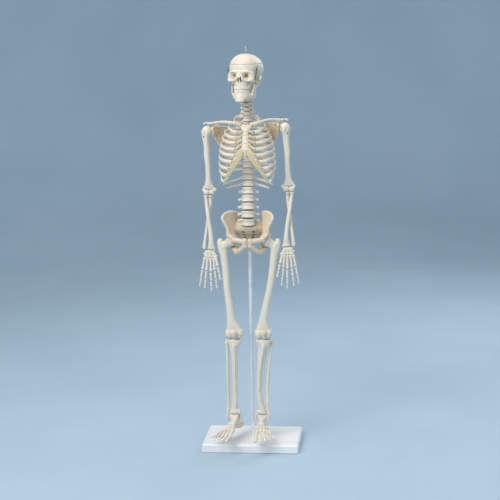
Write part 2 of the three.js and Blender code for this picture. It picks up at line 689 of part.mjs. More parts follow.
// The two forearm bones about the elbow centre. The palm faces back, so the radius crosses the ulna.
function ulna(s, drop, shiftX, shiftY) {
  const r = shaftRadius.ulna;
  const shaft = bone([
    [-s * 3, 4, 2, 4.6, 3.6],
    [-s * 3, 2.5, -8.5, 4.4, 4.6],
    [-s * 2, 1.6, -24, r + 0.2, r + 0.2],
    [s * 3 + shiftX * 0.5, 2.4 + shiftY * 0.5, -drop * 0.5, r - 0.4, r - 0.4],
    [s * 9 + shiftX, shiftY + 1, -drop + 18, r - 0.4, r - 0.4],
    [s * 9.6 + shiftX, shiftY + 1, -drop + 6.2, 3.6, 3.4],
  ], { sides: 6, steps: 1 });
  const hook = bone([
    [-s * 3, 9.4, 5.6, 3.4, 2.6],
    [-s * 3, 9.4, -2, 4.4, 2.8],
    [-s * 3, 6, -9, 4.4, 4],
  ], { sides: 8, steps: 1 });
  const notch = crossBar(trochleaRadius + slideGap + 0.2, 14);
  return join(shaft, hook).subtract(notch);
}

function radiusBone(s, drop, shiftX, shiftY) {
  const r = shaftRadius.radius;
  return bone([
    [s * 6.4, -0.5, -trochleaRadius - slideGap - 0.4, 4.4, 4.4],
    [s * 6.4, -0.8, -trochleaRadius - 4, 4.2, 4.2],
    [s * 5.8, -2, -trochleaRadius - 8, 2.9, 2.9],
    [s * 3.4, -7.2, -30, r, r],
    [-s * 3 + shiftX * 0.5, -7 + shiftY * 0.5, -drop * 0.55, r, r],
    [-s * 5 + shiftX, shiftY - 3, -drop + 22, r + 0.8, r],
    [-s * 4.4 + shiftX, shiftY - 1, -drop + 5.2, 7.4, 4.8],
  ], { sides: 6, steps: 1 });
}

// A hand about its wrist centre, fingers down, palm towards +Y and thumb on the inner side.
function hand(s) {
  const wrist = crossBar(3.6, 8, [-s * 1, 0, -0.6], 10);
  const carpals = bone([
    [-s * 1, 0, -1, 9, 4],
    [-s * 1, -0.5, -8, 11.4, 4.4],
    [0, -1, -16, 11, 3.6],
  ], { sides: 10, steps: 1 });
  const rays = [
    { root: [-12, -6], tip: [-23.5, -57], r: 2.8, forward: 9 },
    { root: [-9, -14], tip: [-15, -76], r: 2.7, forward: 2 },
    { root: [-3, -15], tip: [-3.6, -82], r: 2.8, forward: 2 },
    { root: [3.4, -14.5], tip: [10, -76], r: 2.7, forward: 2 },
    { root: [9.5, -13.5], tip: [20.5, -71], r: 2.5, forward: 2 },
  ].map(({ root: [rx, rz], tip: [tx, tz], r, forward }) => {
    const at = (share, wide) => {
      const x = s * THREE.MathUtils.lerp(rx, tx, share);
      return [x, -1 - forward * share, THREE.MathUtils.lerp(rz, tz, share), wide, wide * 0.95];
    };
    return bone([
      at(0, r + 0.5), at(0.2, r - 0.2), at(0.42, r + 0.5), at(0.54, r - 0.3), at(0.7, r + 0.2),
      at(0.78, r - 0.5), at(0.88, r - 0.1), at(1, r - 0.9),
    ], { sides: 4, steps: 1 });
  });
  return join(wrist, carpals, rays);
}

// ---------------------------------------------------------------- skull, about its pivot
function braincase(grow = 0) {
  const middle = skullHeight / 2;
  return ball([0, 1, middle], [skullHalfWidth + grow, skullHalfLength + grow, middle + grow], [14, 9]);
}

function aboveCut(z) {
  return box([-60, -60, z], [60, 60, 90]);
}

const hollowFloor = 12; // height of the inner floor of the skull

function cranium() {
  const low = capCutHeight - fitGap / 2;
  const vault = braincase().subtract(aboveCut(low));
  const inside = braincase(-skullWall).subtract(box([-60, -60, -20], [60, 60, hollowFloor]));
  const face = join(
    ball([0, -28, 25], [24.5, 17, 15], [10, 6]),
    hull([[-13, -24, -6], [13, -24, -6], [-10, -40, -6], [10, -40, -6],
      [-19, -22, 14], [19, -22, 14], [-13, -43, 16], [13, -43, 16]]),
    ball([0, -44.5, 15], [3.6, 4.4, 6], [6, 6]),
    SIDES.map(([, s]) => ball([s * 20.5, -34, 9.5], [7.4, 7, 6.4], [8, 6])),
  );
  const teeth = bone([
    [-13.6, -22, -5, 2.2, 2.4],
    [-11, -35, -5.4, 2.2, 2.2],
    [0, -41, -5.6, 2.2, 2],
    [11, -35, -5.4, 2.2, 2.2],
    [13.6, -22, -5, 2.2, 2.4],
  ], { sides: 4, steps: 1, across: [0, 0, 1] });
  const arches = SIDES.map(([, s]) => bone([
    [s * 24, -32, 9, 2.6, 2],
    [s * 31, -20, 9.4, 2, 1.4],
    [s * 30.5, -8, 11, 2, 1.6],
    [s * 27, -1, 12, 3, 2.4],
  ], { sides: 6, steps: 1, across: [0, 0, 1] }));
  const mastoids = SIDES.map(([, s]) => bone([
    [s * 24, 5, 10, 5.4, 6],
    [s * 23, 4.5, 1, 4, 5],
    [s * 21.5, 3.5, -4, 1.8, 2.4],
  ], { sides: 8, steps: 1 }));
  const orbits = SIDES.map(([, s]) => ball([s * 14.4, -44, 19], [8.4, 14, 7.4], [10, 6]));
  const nose = hull([[-1.6, -60, 15], [1.6, -60, 15], [-4.6, -60, 6], [4.6, -60, 6],
    [-1.6, -36, 15], [1.6, -36, 15], [-4.2, -36, 6], [4.2, -36, 6]]);
  const temples = SIDES.map(([, s]) => ball([s * 33.5, -23, 17], [8.5, 12, 17], [8, 6]));
  const neckRoom = post(17, -30, 1.2, [0, 2], 12);
  const pivotHole = post(coreRadius + coreClearance, -2, 8.6, [0, 0], 10);
  const hingeRoom = SIDES.map(([, s]) =>
    ball([s * (jawHingeSpacing / 2), jawHingeY, jawHingeZ], 4.6, [8, 6]));
  return join(vault.subtract(join(temples)), face)
    .subtract(join(orbits))
    .subtract(nose)
    .subtract(inside)
    .add(join(teeth, mastoids))
    .add(join(arches))
    .subtract(neckRoom)
    .subtract(pivotHole)
    .subtract(join(hingeRoom));
}

function skullCap() {
  const low = capCutHeight + fitGap / 2;
  const shell = braincase().intersect(aboveCut(low)).subtract(braincase(-skullWall));
  return shell.subtract(post(1.1, skullHeight - 8, skullHeight + 4, [0, 1], 10));
}

function eyelet() {
  const top = skullHeight;
  const stem = post(0.7, top - skullWall - 2, top + eyeletHeight - 6, [0, 1], 8);
  const nut = post(2.6, top - skullWall - 3.2, top - skullWall - 1.4, [0, 1], 6);
  const ring = new THREE.TorusGeometry(2.2, 0.7, 6, 12);
  ring.rotateY(Math.PI / 2);
  ring.translate(0, 1, top + eyeletHeight - 4.4);
  return join(stem, nut, solidOf(ring));
}

function mandible() {
  const hinge = jawHingeSpacing / 2;
  const halves = SIDES.map(([, s]) => join(
    ball([s * hinge, jawHingeY, jawHingeZ], [3.6, 2.8, 3], [6, 4]),
    bone([
      [s * hinge, jawHingeY, jawHingeZ, 2.2, 2.6],
      [s * (hinge - 1), jawHingeY - 1.4, -6, 1.8, 4.4],
      [s * (hinge - 2.4), jawHingeY - 5, -20, 2, 6.4],
    ], { sides: 6, steps: 1 }),
    bone([
      [s * (hinge - 1.4), jawHingeY - 11, 0, 1.1, 2],
      [s * (hinge - 1.8), jawHingeY - 9, -10, 1.6, 5.4],
    ], { sides: 6, steps: 1 }),
  ));
  const body = bone([
    [-(hinge - 2.4), jawHingeY - 3, -20, 5.6, 2.4],
    [-17.5, -26, -22.5, 5.6, 2.8],
    [-9.5, -38.5, -24.5, 6.4, 2.8],
    [0, -42, -25.5, 7, 3.2],
    [9.5, -38.5, -24.5, 6.4, 2.8],
    [17.5, -26, -22.5, 5.6, 2.8],
    [hinge - 2.4, jawHingeY - 3, -20, 5.6, 2.4],
  ], { sides: 6, steps: 1, across: [0, 0, 1] });
  const chin = ball([0, -42, -29], [6, 4, 3.8], [6, 4]);
  const teeth = bone([
    [-14, -24, -14.4, 4.2, 2],
    [-10.4, -35, -14.6, 4.4, 2],
    [0, -40, -14.8, 4.6, 1.8],
    [10.4, -35, -14.6, 4.4, 2],
    [14, -24, -14.4, 4.2, 2],
  ], { sides: 4, steps: 1, across: [0, 0, 1] });
  const bite = box([-30, -60, -8.2 + fitGap], [30, -20.5, 12]);
  return join(halves.flat(), body, chin, teeth.subtract(bite));
}

// A jaw spring from the temple down to the blade in front of the condyle, drawn as its outer tube.
function jawSpring(s) {
  return bone([
    [s * 30.8, -18.4, 38, springRadius],
    [s * 29.6, -21.4, 28, springRadius],
    [s * 27.2, -23, 17.5, springRadius],
    [s * 24.9, -22, 9, springRadius],
    [s * 24.9, -19.5, 2, springRadius],
  ], { sides: 6, steps: 1 });
}

// ---------------------------------------------------------------- assembly
addPiece('base_plate', basePlate(), plateWhite);
const rod = post(rodRadius, plateThickness - rodFootDepth + fitGap, rodTopZ, [0, 0], 12);
addPiece('support_rod', rod, rodSteel);
addPiece('sacrum', sacrum(), boneWarm);
addPiece('spine_core', spineCore(), coreSteel);

for (const entry of vertebrae) {
  const { name, z, pitch } = entry;
  if (name === 'c1' || name === 'c2') continue;
  const place = groupAt(0, spineY(z), z);
  place.rotation.x = spineLean(z);
  const halfWidth = vertebraHalfWidth(z);
  const tip = floatingTips[name];
  const extras = tip ? SIDES.map(([, s]) => floatingRib(s, halfWidth, tip)) : [];
  addPiece(`vertebra_${name}`, join(vertebra(entry), extras), boneWhite, place);
}
const axisPlace = groupAt(0, spineY(middleOf.c2), middleOf.c2);
addPiece('atlas_and_axis', atlasAndAxis(middleOf.c2, middleOf.c1, neckLength / 7), boneWhite, axisPlace);

addPiece('sternum', sternum(), boneWarm);
for (const [side, s] of SIDES) {
  const drop = s < 0 ? armLean / 2 : -armLean / 2;
  addPiece(`rib_cage_${side}`, ribCage(s), boneWhite);
  const shoulder = groupAt((s * shoulderSpacing) / 2 + shoulderDrift, shoulderY, shoulderZ - drop);
  addPiece(`clavicle_${side}`, clavicle(s, s * shoulder.position.x, drop), boneWarm);

  const elbowShift = [(s * elbowSpacing) / 2 - shoulder.position.x, elbowY - shoulderY];
  const wristShift = [(s * (wristSpacing - elbowSpacing)) / 2, wristY - elbowY];
  addPiece(`scapula_${side}`, scapula(s), boneWarm, shoulder);
  addPiece(`humerus_${side}`, humerus(s, upperArmLength, ...elbowShift), boneWhite, shoulder);
  const elbow = groupAt(elbowShift[0], elbowShift[1], -upperArmLength, shoulder);
  addPiece(`ulna_${side}`, ulna(s, forearmLength, ...wristShift), boneWhite, elbow);
  addPiece(`radius_${side}`, radiusBone(s, forearmLength, ...wristShift), boneWhite, elbow);
  const wrist = groupAt(wristShift[0], wristShift[1], -forearmLength, elbow);
  addPiece(`hand_${side}`, hand(s), boneWhite, wrist);

  const hip = groupAt((s * hipSpacing) / 2, hipY, hipZ);
  const kneeX = (s * kneeSpacing) / 2 + kneeDrift;
  const ankleX = (s * ankleSpacing) / 2 + ankleDrift;
  const kneeShift = [kneeX - hip.position.x, kneeY - hipY];
  const ankleShift = [ankleX - kneeX, ankleY - kneeY];
  const knee = groupAt(kneeX, kneeY, kneeZ);
  addPiece(`hip_bone_${side}`, hipBone(s), boneWarm, hip);
  addPiece(`femur_${side}`, femur(s, thighLength, ...kneeShift), boneWhite, hip);
  addPiece(`patella_${side}`, patella(), boneWarm, knee);
  addPiece(`tibia_${side}`, tibia(s, shankLength, ...ankleShift), boneWhite, knee);
  addPiece(`fibula_${side}`, fibula(s, shankLength, ...ankleShift), boneWhite, knee);
  const ankle = groupAt(ankleX, ankleY, ankleZ);
  ankle.rotation.z = THREE.MathUtils.degToRad(s * turnOut[side]);
  addPiece(`foot_${side}`, foot(s), boneWhite, ankle);
}

const skull = groupAt(0, headY, headPivotZ);
skull.rotation.z = THREE.MathUtils.degToRad(headYaw);
addPiece('cranium', cranium(), boneWarm, skull);
addPiece('skull_cap', skullCap(), capWarm, skull);
addPiece('hanging_eyelet', eyelet(), eyeletSteel, skull);
addPiece('mandible', mandible(), boneWarm, skull);
for (const [side, s] of SIDES) addPiece(`jaw_spring_${side}`, jawSpring(s), springSteel, skull);

export default skeleton;
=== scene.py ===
import json
import math

import bpy
import numpy as np
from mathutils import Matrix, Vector


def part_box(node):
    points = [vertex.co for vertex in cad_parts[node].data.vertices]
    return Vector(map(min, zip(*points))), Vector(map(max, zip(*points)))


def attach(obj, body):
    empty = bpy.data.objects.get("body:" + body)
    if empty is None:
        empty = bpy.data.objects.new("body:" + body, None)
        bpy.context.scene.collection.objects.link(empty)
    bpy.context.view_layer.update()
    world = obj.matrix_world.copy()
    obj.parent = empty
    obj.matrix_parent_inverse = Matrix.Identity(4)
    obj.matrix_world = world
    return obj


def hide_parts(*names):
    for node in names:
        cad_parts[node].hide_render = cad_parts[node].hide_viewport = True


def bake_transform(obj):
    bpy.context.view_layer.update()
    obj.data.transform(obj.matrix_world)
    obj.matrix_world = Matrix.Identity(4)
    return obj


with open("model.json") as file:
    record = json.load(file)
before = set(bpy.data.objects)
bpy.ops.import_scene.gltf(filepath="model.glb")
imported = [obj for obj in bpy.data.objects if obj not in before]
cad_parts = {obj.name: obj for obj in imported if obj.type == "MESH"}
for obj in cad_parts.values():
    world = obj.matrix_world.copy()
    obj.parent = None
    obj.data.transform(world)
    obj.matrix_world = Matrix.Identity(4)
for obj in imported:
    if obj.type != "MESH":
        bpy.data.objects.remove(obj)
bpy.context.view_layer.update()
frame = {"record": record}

MM = 0.001
FAR = 6.0                # a distance, in mm, well outside every surface
REACH = 4.0              # how far round a part its distance is worked out, in mm
RIGHT, LEFT = ("right", -1), ("left", 1)
SIDES = (RIGHT, LEFT)
JOINTS = {joint["name"]: joint for joint in frame["record"]["behaviour"]["joints"]}


# ------------------------------------------------------------ places, from the frame (mm)
def joint_at(name):
    return np.array(JOINTS[name]["pos_m"]) / MM


def node_box(node):
    low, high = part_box(node)
    return np.array(low) / MM, np.array(high) / MM


def node_middle(node):
    low, high = node_box(node)
    return (low + high) / 2


def unit(vector):
    vector = np.asarray(vector, float)
    return vector / max(np.linalg.norm(vector), 1e-9)


def smooth_path(stations, per=5):
    """Catmull-Rom through the stations, every column alike."""
    p = np.asarray(stations, float)
    if len(p) < 3:
        t = np.linspace(0, 1, per + 1)[:, None]
        return p[0] * (1 - t) + p[-1] * t
    q = np.vstack([2 * p[0] - p[1], p, 2 * p[-1] - p[-2]])
    t = np.linspace(0, 1, per, endpoint=False)[:, None]
    spans = [
        0.5 * (2 * b + (c - a) * t + (2 * a - 5 * b + 4 * c - d) * t**2 + (3 * b - a - 3 * c + d) * t**3)
        for a, b, c, d in zip(q, q[1:], q[2:], q[3:])
    ]
    return np.vstack([*spans, p[-1:]])


def frame_along(tangent, across):
    """(widthwise, depthwise) square to the tangent, with the width along across."""
    depthwise = unit(np.cross(tangent, across))
    return unit(np.cross(depthwise, tangent)), depthwise


# ------------------------------------------------------------ modelling clay: soft-joined distance fields
class Clay:
    """Parts pressed together or cut away with soft edges, then meshed on a grid of `step` mm."""

    def __init__(self, step=0.9, at=(0, 0, 0), turn=0.0):
        self.step = step
        self.at = np.asarray(at, float)
        self.turn = turn
        self.parts = []

    def _add(self, low, high, field, soft, cut):
        self.parts.append((np.asarray(low, float) - REACH, np.asarray(high, float) + REACH, field, soft, cut))
        return self

    def tube(self, stations, soft=1.2, cut=False, across=(1, 0, 0), per=5, cap=3.0):
        """A bone shaft through stations of [x, y, z, half width, half depth]."""
        rows = smooth_path([(*r, r[3]) if len(r) == 4 else tuple(r) for r in stations], per)
        rows[:, 3:] = np.maximum(rows[:, 3:], 0.25)
        widest = rows[:, 3:].max()
        run = np.concatenate([[0], np.cumsum(np.linalg.norm(np.diff(rows[:, :3], axis=0), axis=1))])

        def field(x, y, z):
            out = np.full((x.size, y.size, z.size), FAR, np.float32)
            for i, (a, b) in enumerate(zip(rows, rows[1:])):
                reach = max(a[3:].max(), b[3:].max()) + REACH
                cells = tuple(
                    slice(*np.searchsorted(v, (min(a[k], b[k]) - reach, max(a[k], b[k]) + reach)))
                    for k, v in enumerate((x, y, z))
                )
                if any(c.start >= c.stop for c in cells):
                    continue
                length = np.linalg.norm(b[:3] - a[:3])
                tangent = unit(b[:3] - a[:3])
                wide, deep = frame_along(tangent, across)
                px = x[cells[0]][:, None, None] - a[0]
                py = y[cells[1]][None, :, None] - a[1]
                pz = z[cells[2]][None, None, :] - a[2]
                along = px * tangent[0] + py * tangent[1] + pz * tangent[2]
                share = np.clip(along / length, 0, 1)
                w = a[3] + (b[3] - a[3]) * share
                d = a[4] + (b[4] - a[4]) * share
                u = px * wide[0] + py * wide[1] + pz * wide[2]
                v = px * deep[0] + py * deep[1] + pz * deep[2]
                past = along - share * length
                small = np.minimum(w, d)
                m = np.minimum(small, np.where(past < 0, run[i], run[-1] - run[i + 1]) + cap)
                k0 = np.sqrt((u / w) ** 2 + (v / d) ** 2 + (past / m) ** 2)
                k1 = np.sqrt((u / w**2) ** 2 + (v / d**2) ** 2 + (past / m**2) ** 2) + 1e-4
                block = out[cells]
                np.minimum(block, np.maximum(k0 * (k0 - 1) / k1, -small), out=block)
            return out

        low = rows[:, :3].min(0) - widest
        return self._add(low, rows[:, :3].max(0) + widest, field, soft, cut)

    def ball(self, centre, radii, soft=1.2, cut=False, turn=None):
        """An ellipsoid; turn is a 3 x 3 matrix whose rows are its own axes."""
        centre = np.asarray(centre, float)
        radii = np.broadcast_to(np.asarray(radii, float), 3)
        axes = np.eye(3) if turn is None else np.asarray(turn, float)

        def field(x, y, z):
            p = [x[:, None, None] - centre[0], y[None, :, None] - centre[1], z[None, None, :] - centre[2]]
            local = [sum(axes[i][k] * p[k] for k in range(3)) for i in range(3)]
            k0 = np.sqrt(sum((q / r) ** 2 for q, r in zip(local, radii)))
            k1 = np.sqrt(sum((q / r**2) ** 2 for q, r in zip(local, radii))) + 1e-4
            return np.maximum(k0 * (k0 - 1) / k1, -radii.min())

        span = radii if turn is None else np.full(3, radii.max())
        return self._add(centre - span, centre + span, field, soft, cut)

    def block(self, centre, halves, edge=0.6, soft=0.5, cut=False, turn=None):
        """A box with round edges."""
        centre = np.asarray(centre, float)
        halves = np.asarray(halves, float)
        axes = np.eye(3) if turn is None else np.asarray(turn, float)

        def field(x, y, z):
            p = [x[:, None, None] - centre[0], y[None, :, None] - centre[1], z[None, None, :] - centre[2]]
            out = [np.abs(sum(axes[i][k] * p[k] for k in range(3))) - halves[i] + edge for i in range(3)]
            outside = np.sqrt(sum(np.maximum(q, 0) ** 2 for q in out))
            return outside + np.minimum(np.maximum(np.maximum(out[0], out[1]), out[2]), 0) - edge

        span = halves if turn is None else np.full(3, np.linalg.norm(halves))
        return self._add(centre - span, centre + span, field, soft, cut)

    def bar(self, a, b, radius, soft=0.5, cut=False):
        """A round bar with flat ends."""
        a, b = np.asarray(a, float), np.asarray(b, float)
        tangent = unit(b - a)
        middle, half = (a + b) / 2, np.linalg.norm(b - a) / 2

        def field(x, y, z):
            p = [x[:, None, None] - middle[0], y[None, :, None] - middle[1], z[None, None, :] - middle[2]]
            along = sum(p[k] * tangent[k] for k in range(3))
            square = sum(q**2 for q in p) - along**2
            round_ = np.sqrt(np.maximum(square, 0)) - radius
            flat = np.abs(along) - half
            outside = np.sqrt(np.maximum(round_, 0) ** 2 + np.maximum(flat, 0) ** 2)
            return outside + np.minimum(np.maximum(round_, flat), 0)

        low = np.minimum(a, b) - radius
        return self._add(low, np.maximum(a, b) + radius, field, soft, cut)

    def grid(self):
        solid = [part for part in self.parts if not part[4]]
        low = np.min([part[0] for part in solid], 0) + REACH - 2.5 * self.step
        high = np.max([part[1] for part in solid], 0) - REACH + 2.5 * self.step
        axes = [np.arange(low[i], high[i] + self.step, self.step) for i in range(3)]
        values = np.full([a.size for a in axes], FAR, np.float32)
        for start, stop, field, soft, cut in self.parts:
            cells = tuple(slice(*np.searchsorted(axes[i], (start[i], stop[i]))) for i in range(3))
            if any(c.start >= c.stop for c in cells):
                continue
            near = field(*(axes[i][cells[i]] for i in range(3)))
            old = values[cells]
            if cut:
                values[cells] = -soft_least(-old, near, soft)
            else:
                values[cells] = soft_least(old, near, soft)
        return axes, values

    def mesh(self):
        """(vertices in mm in the row frame, quads)."""
        axes, values = self.grid()
        values += ripple(axes)
        for axis in range(3):
            for end in (0, -1):
                edge = [slice(None)] * 3
                edge[axis] = end
                values[tuple(edge)] = FAR
        points, quads = surface_nets(values)
        points = points * self.step + [a[0] for a in axes]
        c, s = math.cos(self.turn), math.sin(self.turn)
        points = points @ np.array([[c, s, 0], [-s, c, 0], [0, 0, 1]])
        return points + self.at, quads


def soft_least(a, b, soft):
    blend = np.maximum(soft - np.abs(a - b), 0)
    return np.minimum(a, b) - blend**2 / (4 * soft)


def ripple(axes):
    """The slight unevenness of a cast surface."""
    x, y, z = axes[0][:, None, None], axes[1][None, :, None], axes[2][None, None, :]
    wave = np.sin(0.9 * x + 1.3 * np.sin(0.5 * z)) * np.sin(0.8 * y + 0.4 * z) * np.sin(0.7 * z + 0.6 * x)
    return (0.09 * wave).astype(np.float32)


def surface_nets(values):
    """One vertex in each grid cell that the surface crosses, and one quad for each crossed grid edge."""
    inside = values < 0
    shape = np.array(values.shape)
    corner = [(i, j, k) for i in (0, 1) for j in (0, 1) for k in (0, 1)]

    def shifted(array, o):
        return array[tuple(slice(o[a], array.shape[a] - 1 + o[a]) for a in range(3))]

    count = sum(shifted(inside, o).astype(np.int8) for o in corner)
    active = (count > 0) & (count < 8)
    cells = np.argwhere(active)
    number = np.full(active.shape, -1, np.int64)
    number[active] = np.arange(len(cells))
    total = np.zeros((len(cells), 3))
    hits = np.zeros(len(cells))
    for axis in range(3):
        step = np.eye(3, dtype=int)[axis]
        for o in corner:
            if o[axis]:
                continue
            a = cells + o
            fa = values[tuple(a.T)]
            fb = values[tuple((a + step).T)]
            cross = (fa < 0) != (fb < 0)
            share = np.where(cross, fa / np.where(cross, fa - fb, 1), 0)
            total += np.where(cross[:, None], np.array(o) + share[:, None] * step, 0)
            hits += cross
    points = cells + total / hits[:, None]
    quads = []
    for axis in range(3):
        b, c = (axis + 1) % 3, (axis + 2) % 3
        step = np.eye(3, dtype=int)
        low = [slice(None)] * 3
        high = [slice(None)] * 3
        low[axis], high[axis] = slice(0, shape[axis] - 1), slice(1, shape[axis])
        first, second = inside[tuple(low)], inside[tuple(high)]
        for out_facing in (True, False):
            cross = (first & ~second) if out_facing else (~first & second)
            edge = np.argwhere(cross)
            edge = edge[(edge[:, b] > 0) & (edge[:, c] > 0)]
            ring = [edge - step[b] - step[c], edge - step[c], edge, edge - step[b]]
            face = np.stack([number[tuple(r.T)] for r in ring], 1)
            quads.append(face if out_facing else face[:, ::-1])
    return points, np.vstack(quads)


def loosen(points, quads, rounds=2):
    """Evens out the grid's steps without shrinking the shape."""
    pairs = np.vstack([quads[:, [i, (i + 1) % 4]] for i in range(4)])
    pairs = np.vstack([pairs, pairs[:, ::-1]])
    degree = np.bincount(pairs[:, 0], minlength=len(points))[:, None]
    for factor in (0.5, -0.52) * rounds:
        total = np.stack([np.bincount(pairs[:, 0], points[pairs[:, 1], k], len(points)) for k in range(3)], 1)
        points = points + factor * (total / degree - points)
    return points


def hollowness(points, quads):
    """How far each vertex lies in a hollow, from -1 on ridges to 1 in grooves."""
    pairs = np.vstack([quads[:, [i, (i + 1) % 4]] for i in range(4)])
    pairs = np.vstack([pairs, pairs[:, ::-1]])
    degree = np.bincount(pairs[:, 0], minlength=len(points))
    corners = points[quads]
    face = np.cross(corners[:, 2] - corners[:, 0], corners[:, 3] - corners[:, 1])
    normal = np.zeros_like(points)
    for k in range(4):
        for axis in range(3):
            normal[:, axis] += np.bincount(quads[:, k], face[:, axis], len(points))
    normal /= np.linalg.norm(normal, axis=1)[:, None] + 1e-9
    wide = points.copy()
    for _ in range(14):
        wide = wide + 0.5 * (
            np.stack([np.bincount(pairs[:, 0], wide[pairs[:, 1], k], len(points)) for k in range(3)], 1)
            / degree[:, None] - wide)
    depth = np.einsum("ij,ij->i", wide - points, normal)
    return np.clip(depth / 0.7, -1, 1)


# ------------------------------------------------------------ pieces
def piece(name, points, faces, body, replaced, slot, material, hollow=None, smooth=True):
    mesh = bpy.data.meshes.new(name)
    mesh.from_pydata((np.asarray(points) * MM).tolist(), [], [list(map(int, f)) for f in faces])
    mesh.validate()
    if smooth:
        mesh.polygons.foreach_set("use_smooth", [True] * len(mesh.polygons))
    layer = mesh.attributes.new("hollow", "FLOAT", "POINT")
    layer.data.foreach_set("value", np.zeros(len(points)) if hollow is None else hollow)
    mesh.update()
    thing = bpy.data.objects.new(name, mesh)
    bpy.context.scene.collection.objects.link(thing)
    mesh.materials.append(material)
    if body:
        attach(thing, body)
    if replaced:
        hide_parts(*([replaced] if isinstance(replaced, str) else replaced))
    return thing


def cast(name, clay, body, replaced, slot, material):
    """A piece made of clay."""
    points, quads = clay.mesh()
    points = loosen(points, quads)
    return piece(name, points, quads, body, replaced, slot, material, hollowness(points, quads))


def sweep(rows, across=(0, 0, 1), sides=14, per=6, profile=None):
    """A closed, round-ended bar through stations of [x, y, z, half width, half depth]."""
    rows = smooth_path([(*r, r[3]) if len(r) == 4 else tuple(r) for r in rows], per)
    centre = rows[:, :3]
    tangent = np.gradient(centre, axis=0)
    angle = np.linspace(0, 2 * math.pi, sides, endpoint=False)
    end_steps = (0.0, 0.45, 0.8)
    rings, points, faces = [], [], []

    def ring(at, direction, w, d, scale, push):
        wide, deep = frame_along(unit(direction), across)
        c, s = np.cos(angle), np.sin(angle)
        shape = np.ones(sides) if profile is None else profile(angle)
        rings.append(at + push * unit(direction) + (c * w * scale * shape)[:, None] * wide
                     + (s * d * scale * shape)[:, None] * deep)

    small0, small1 = rows[0, 3:].min(), rows[-1, 3:].min()
    for q in (1 - 0.9, 0.5, 0.8):
        ring(centre[0], tangent[0], *rows[0, 3:], math.sin(q * math.pi / 2), -small0 * math.cos(q * math.pi / 2))
    for at, direction, row in zip(centre, tangent, rows):
        ring(at, direction, row[3], row[4], 1, 0)
    for q in (0.8, 0.5, 1 - 0.9):
        ring(centre[-1], tangent[-1], *rows[-1, 3:], math.sin(q * math.pi / 2), small1 * math.cos(q * math.pi / 2))
    points = np.vstack(rings)
    for r in range(len(rings) - 1):
        for k in range(sides):
            n = (k + 1) % sides
            faces.append([r * sides + k, r * sides + n, (r + 1) * sides + n, (r + 1) * sides + k])
    faces.append(list(range(sides))[::-1])
    last = (len(rings) - 1) * sides
    faces.append([last + k for k in range(sides)])
    return points, faces


def together(*shapes):
    """Several closed shapes as one list of points and faces."""
    points, faces = [], []
    for p, f in shapes:
        start = sum(len(q) for q in points)
        points.append(np.asarray(p))
        faces.extend([[start + int(i) for i in face] for face in f])
    return np.vstack(points), faces


def lathe(profile, sides=48, at=(0, 0, 0), axis=(0, 0, 1)):
    """A turned piece: profile of [radius, height], starting and ending on the axis."""
    profile = np.asarray(profile, float)
    wide, deep = frame_along(unit(axis), (1, 0, 0) if abs(axis[0]) < 0.9 else (0, 1, 0))
    angle = np.linspace(0, 2 * math.pi, sides, endpoint=False)
    points, faces = [], []
    inner = profile[1:-1]
    for r, h in inner:
        for a in angle:
            points.append(np.array(at) + h * unit(axis) + r * (math.cos(a) * wide + math.sin(a) * deep))
    for i in range(len(inner) - 1):
        for k in range(sides):
            n = (k + 1) % sides
            faces.append([i * sides + k, i * sides + n, (i + 1) * sides + n, (i + 1) * sides + k])
    points.append(np.array(at) + profile[0][1] * unit(axis))
    points.append(np.array(at) + profile[-1][1] * unit(axis))
    foot, top = len(points) - 2, len(points) - 1
    last = (len(inner) - 1) * sides
    for k in range(sides):
        n = (k + 1) % sides
        faces.append([foot, n, k])
        faces.append([top, last + k, last + n])
    return np.array(points), faces


# ------------------------------------------------------------ materials
def shader(name):
    material = bpy.data.materials.new(name)
    material.use_nodes = True
    tree = material.node_tree
    return material, tree, tree.nodes["Principled BSDF"]


def noise(tree, scale, detail=4.0, rough=0.55, coords=None):
    node = tree.nodes.new("ShaderNodeTexNoise")
    node.inputs["Scale"].default_value = scale
    node.inputs["Detail"].default_value = detail
    node.inputs["Roughness"].default_value = rough
    tree.links.new(coords, node.inputs["Vector"])
    return node.outputs["Fac"]


def ramp(tree, value, low, high, a=0.0, b=1.0):
    node = tree.nodes.new("ShaderNodeMapRange")
    node.interpolation_type = "SMOOTHSTEP"
    tree.links.new(value, node.inputs["Value"])
    for key, number in (("From Min", low), ("From Max", high), ("To Min", a), ("To Max", b)):
        node.inputs[key].default_value = number
    return node.outputs["Result"]


def mixed(tree, share, a, b):
    node = tree.nodes.new("ShaderNodeMix")
    node.data_type = "RGBA"
    tree.links.new(share, node.inputs["Factor"])
    for key, value in ((6, a), (7, b)):
        if isinstance(value, tuple):
            node.inputs[key].default_value = (*value, 1)
        else:
            tree.links.new(value, node.inputs[key])
    return node.outputs[2]


def bumped(tree, bsdf, *layers):
    """Layers of (height, strength, distance)."""
    last = None
    for height, strength, distance in layers:
        node = tree.nodes.new("ShaderNodeBump")
        node.inputs["Strength"].default_value = strength
        node.inputs["Distance"].default_value = distance
        tree.links.new(height, node.inputs["Height"])
        if last:
            tree.links.new(last, node.inputs["Normal"])
        last = node.outputs["Normal"]
    tree.links.new(last, bsdf.inputs["Normal"])


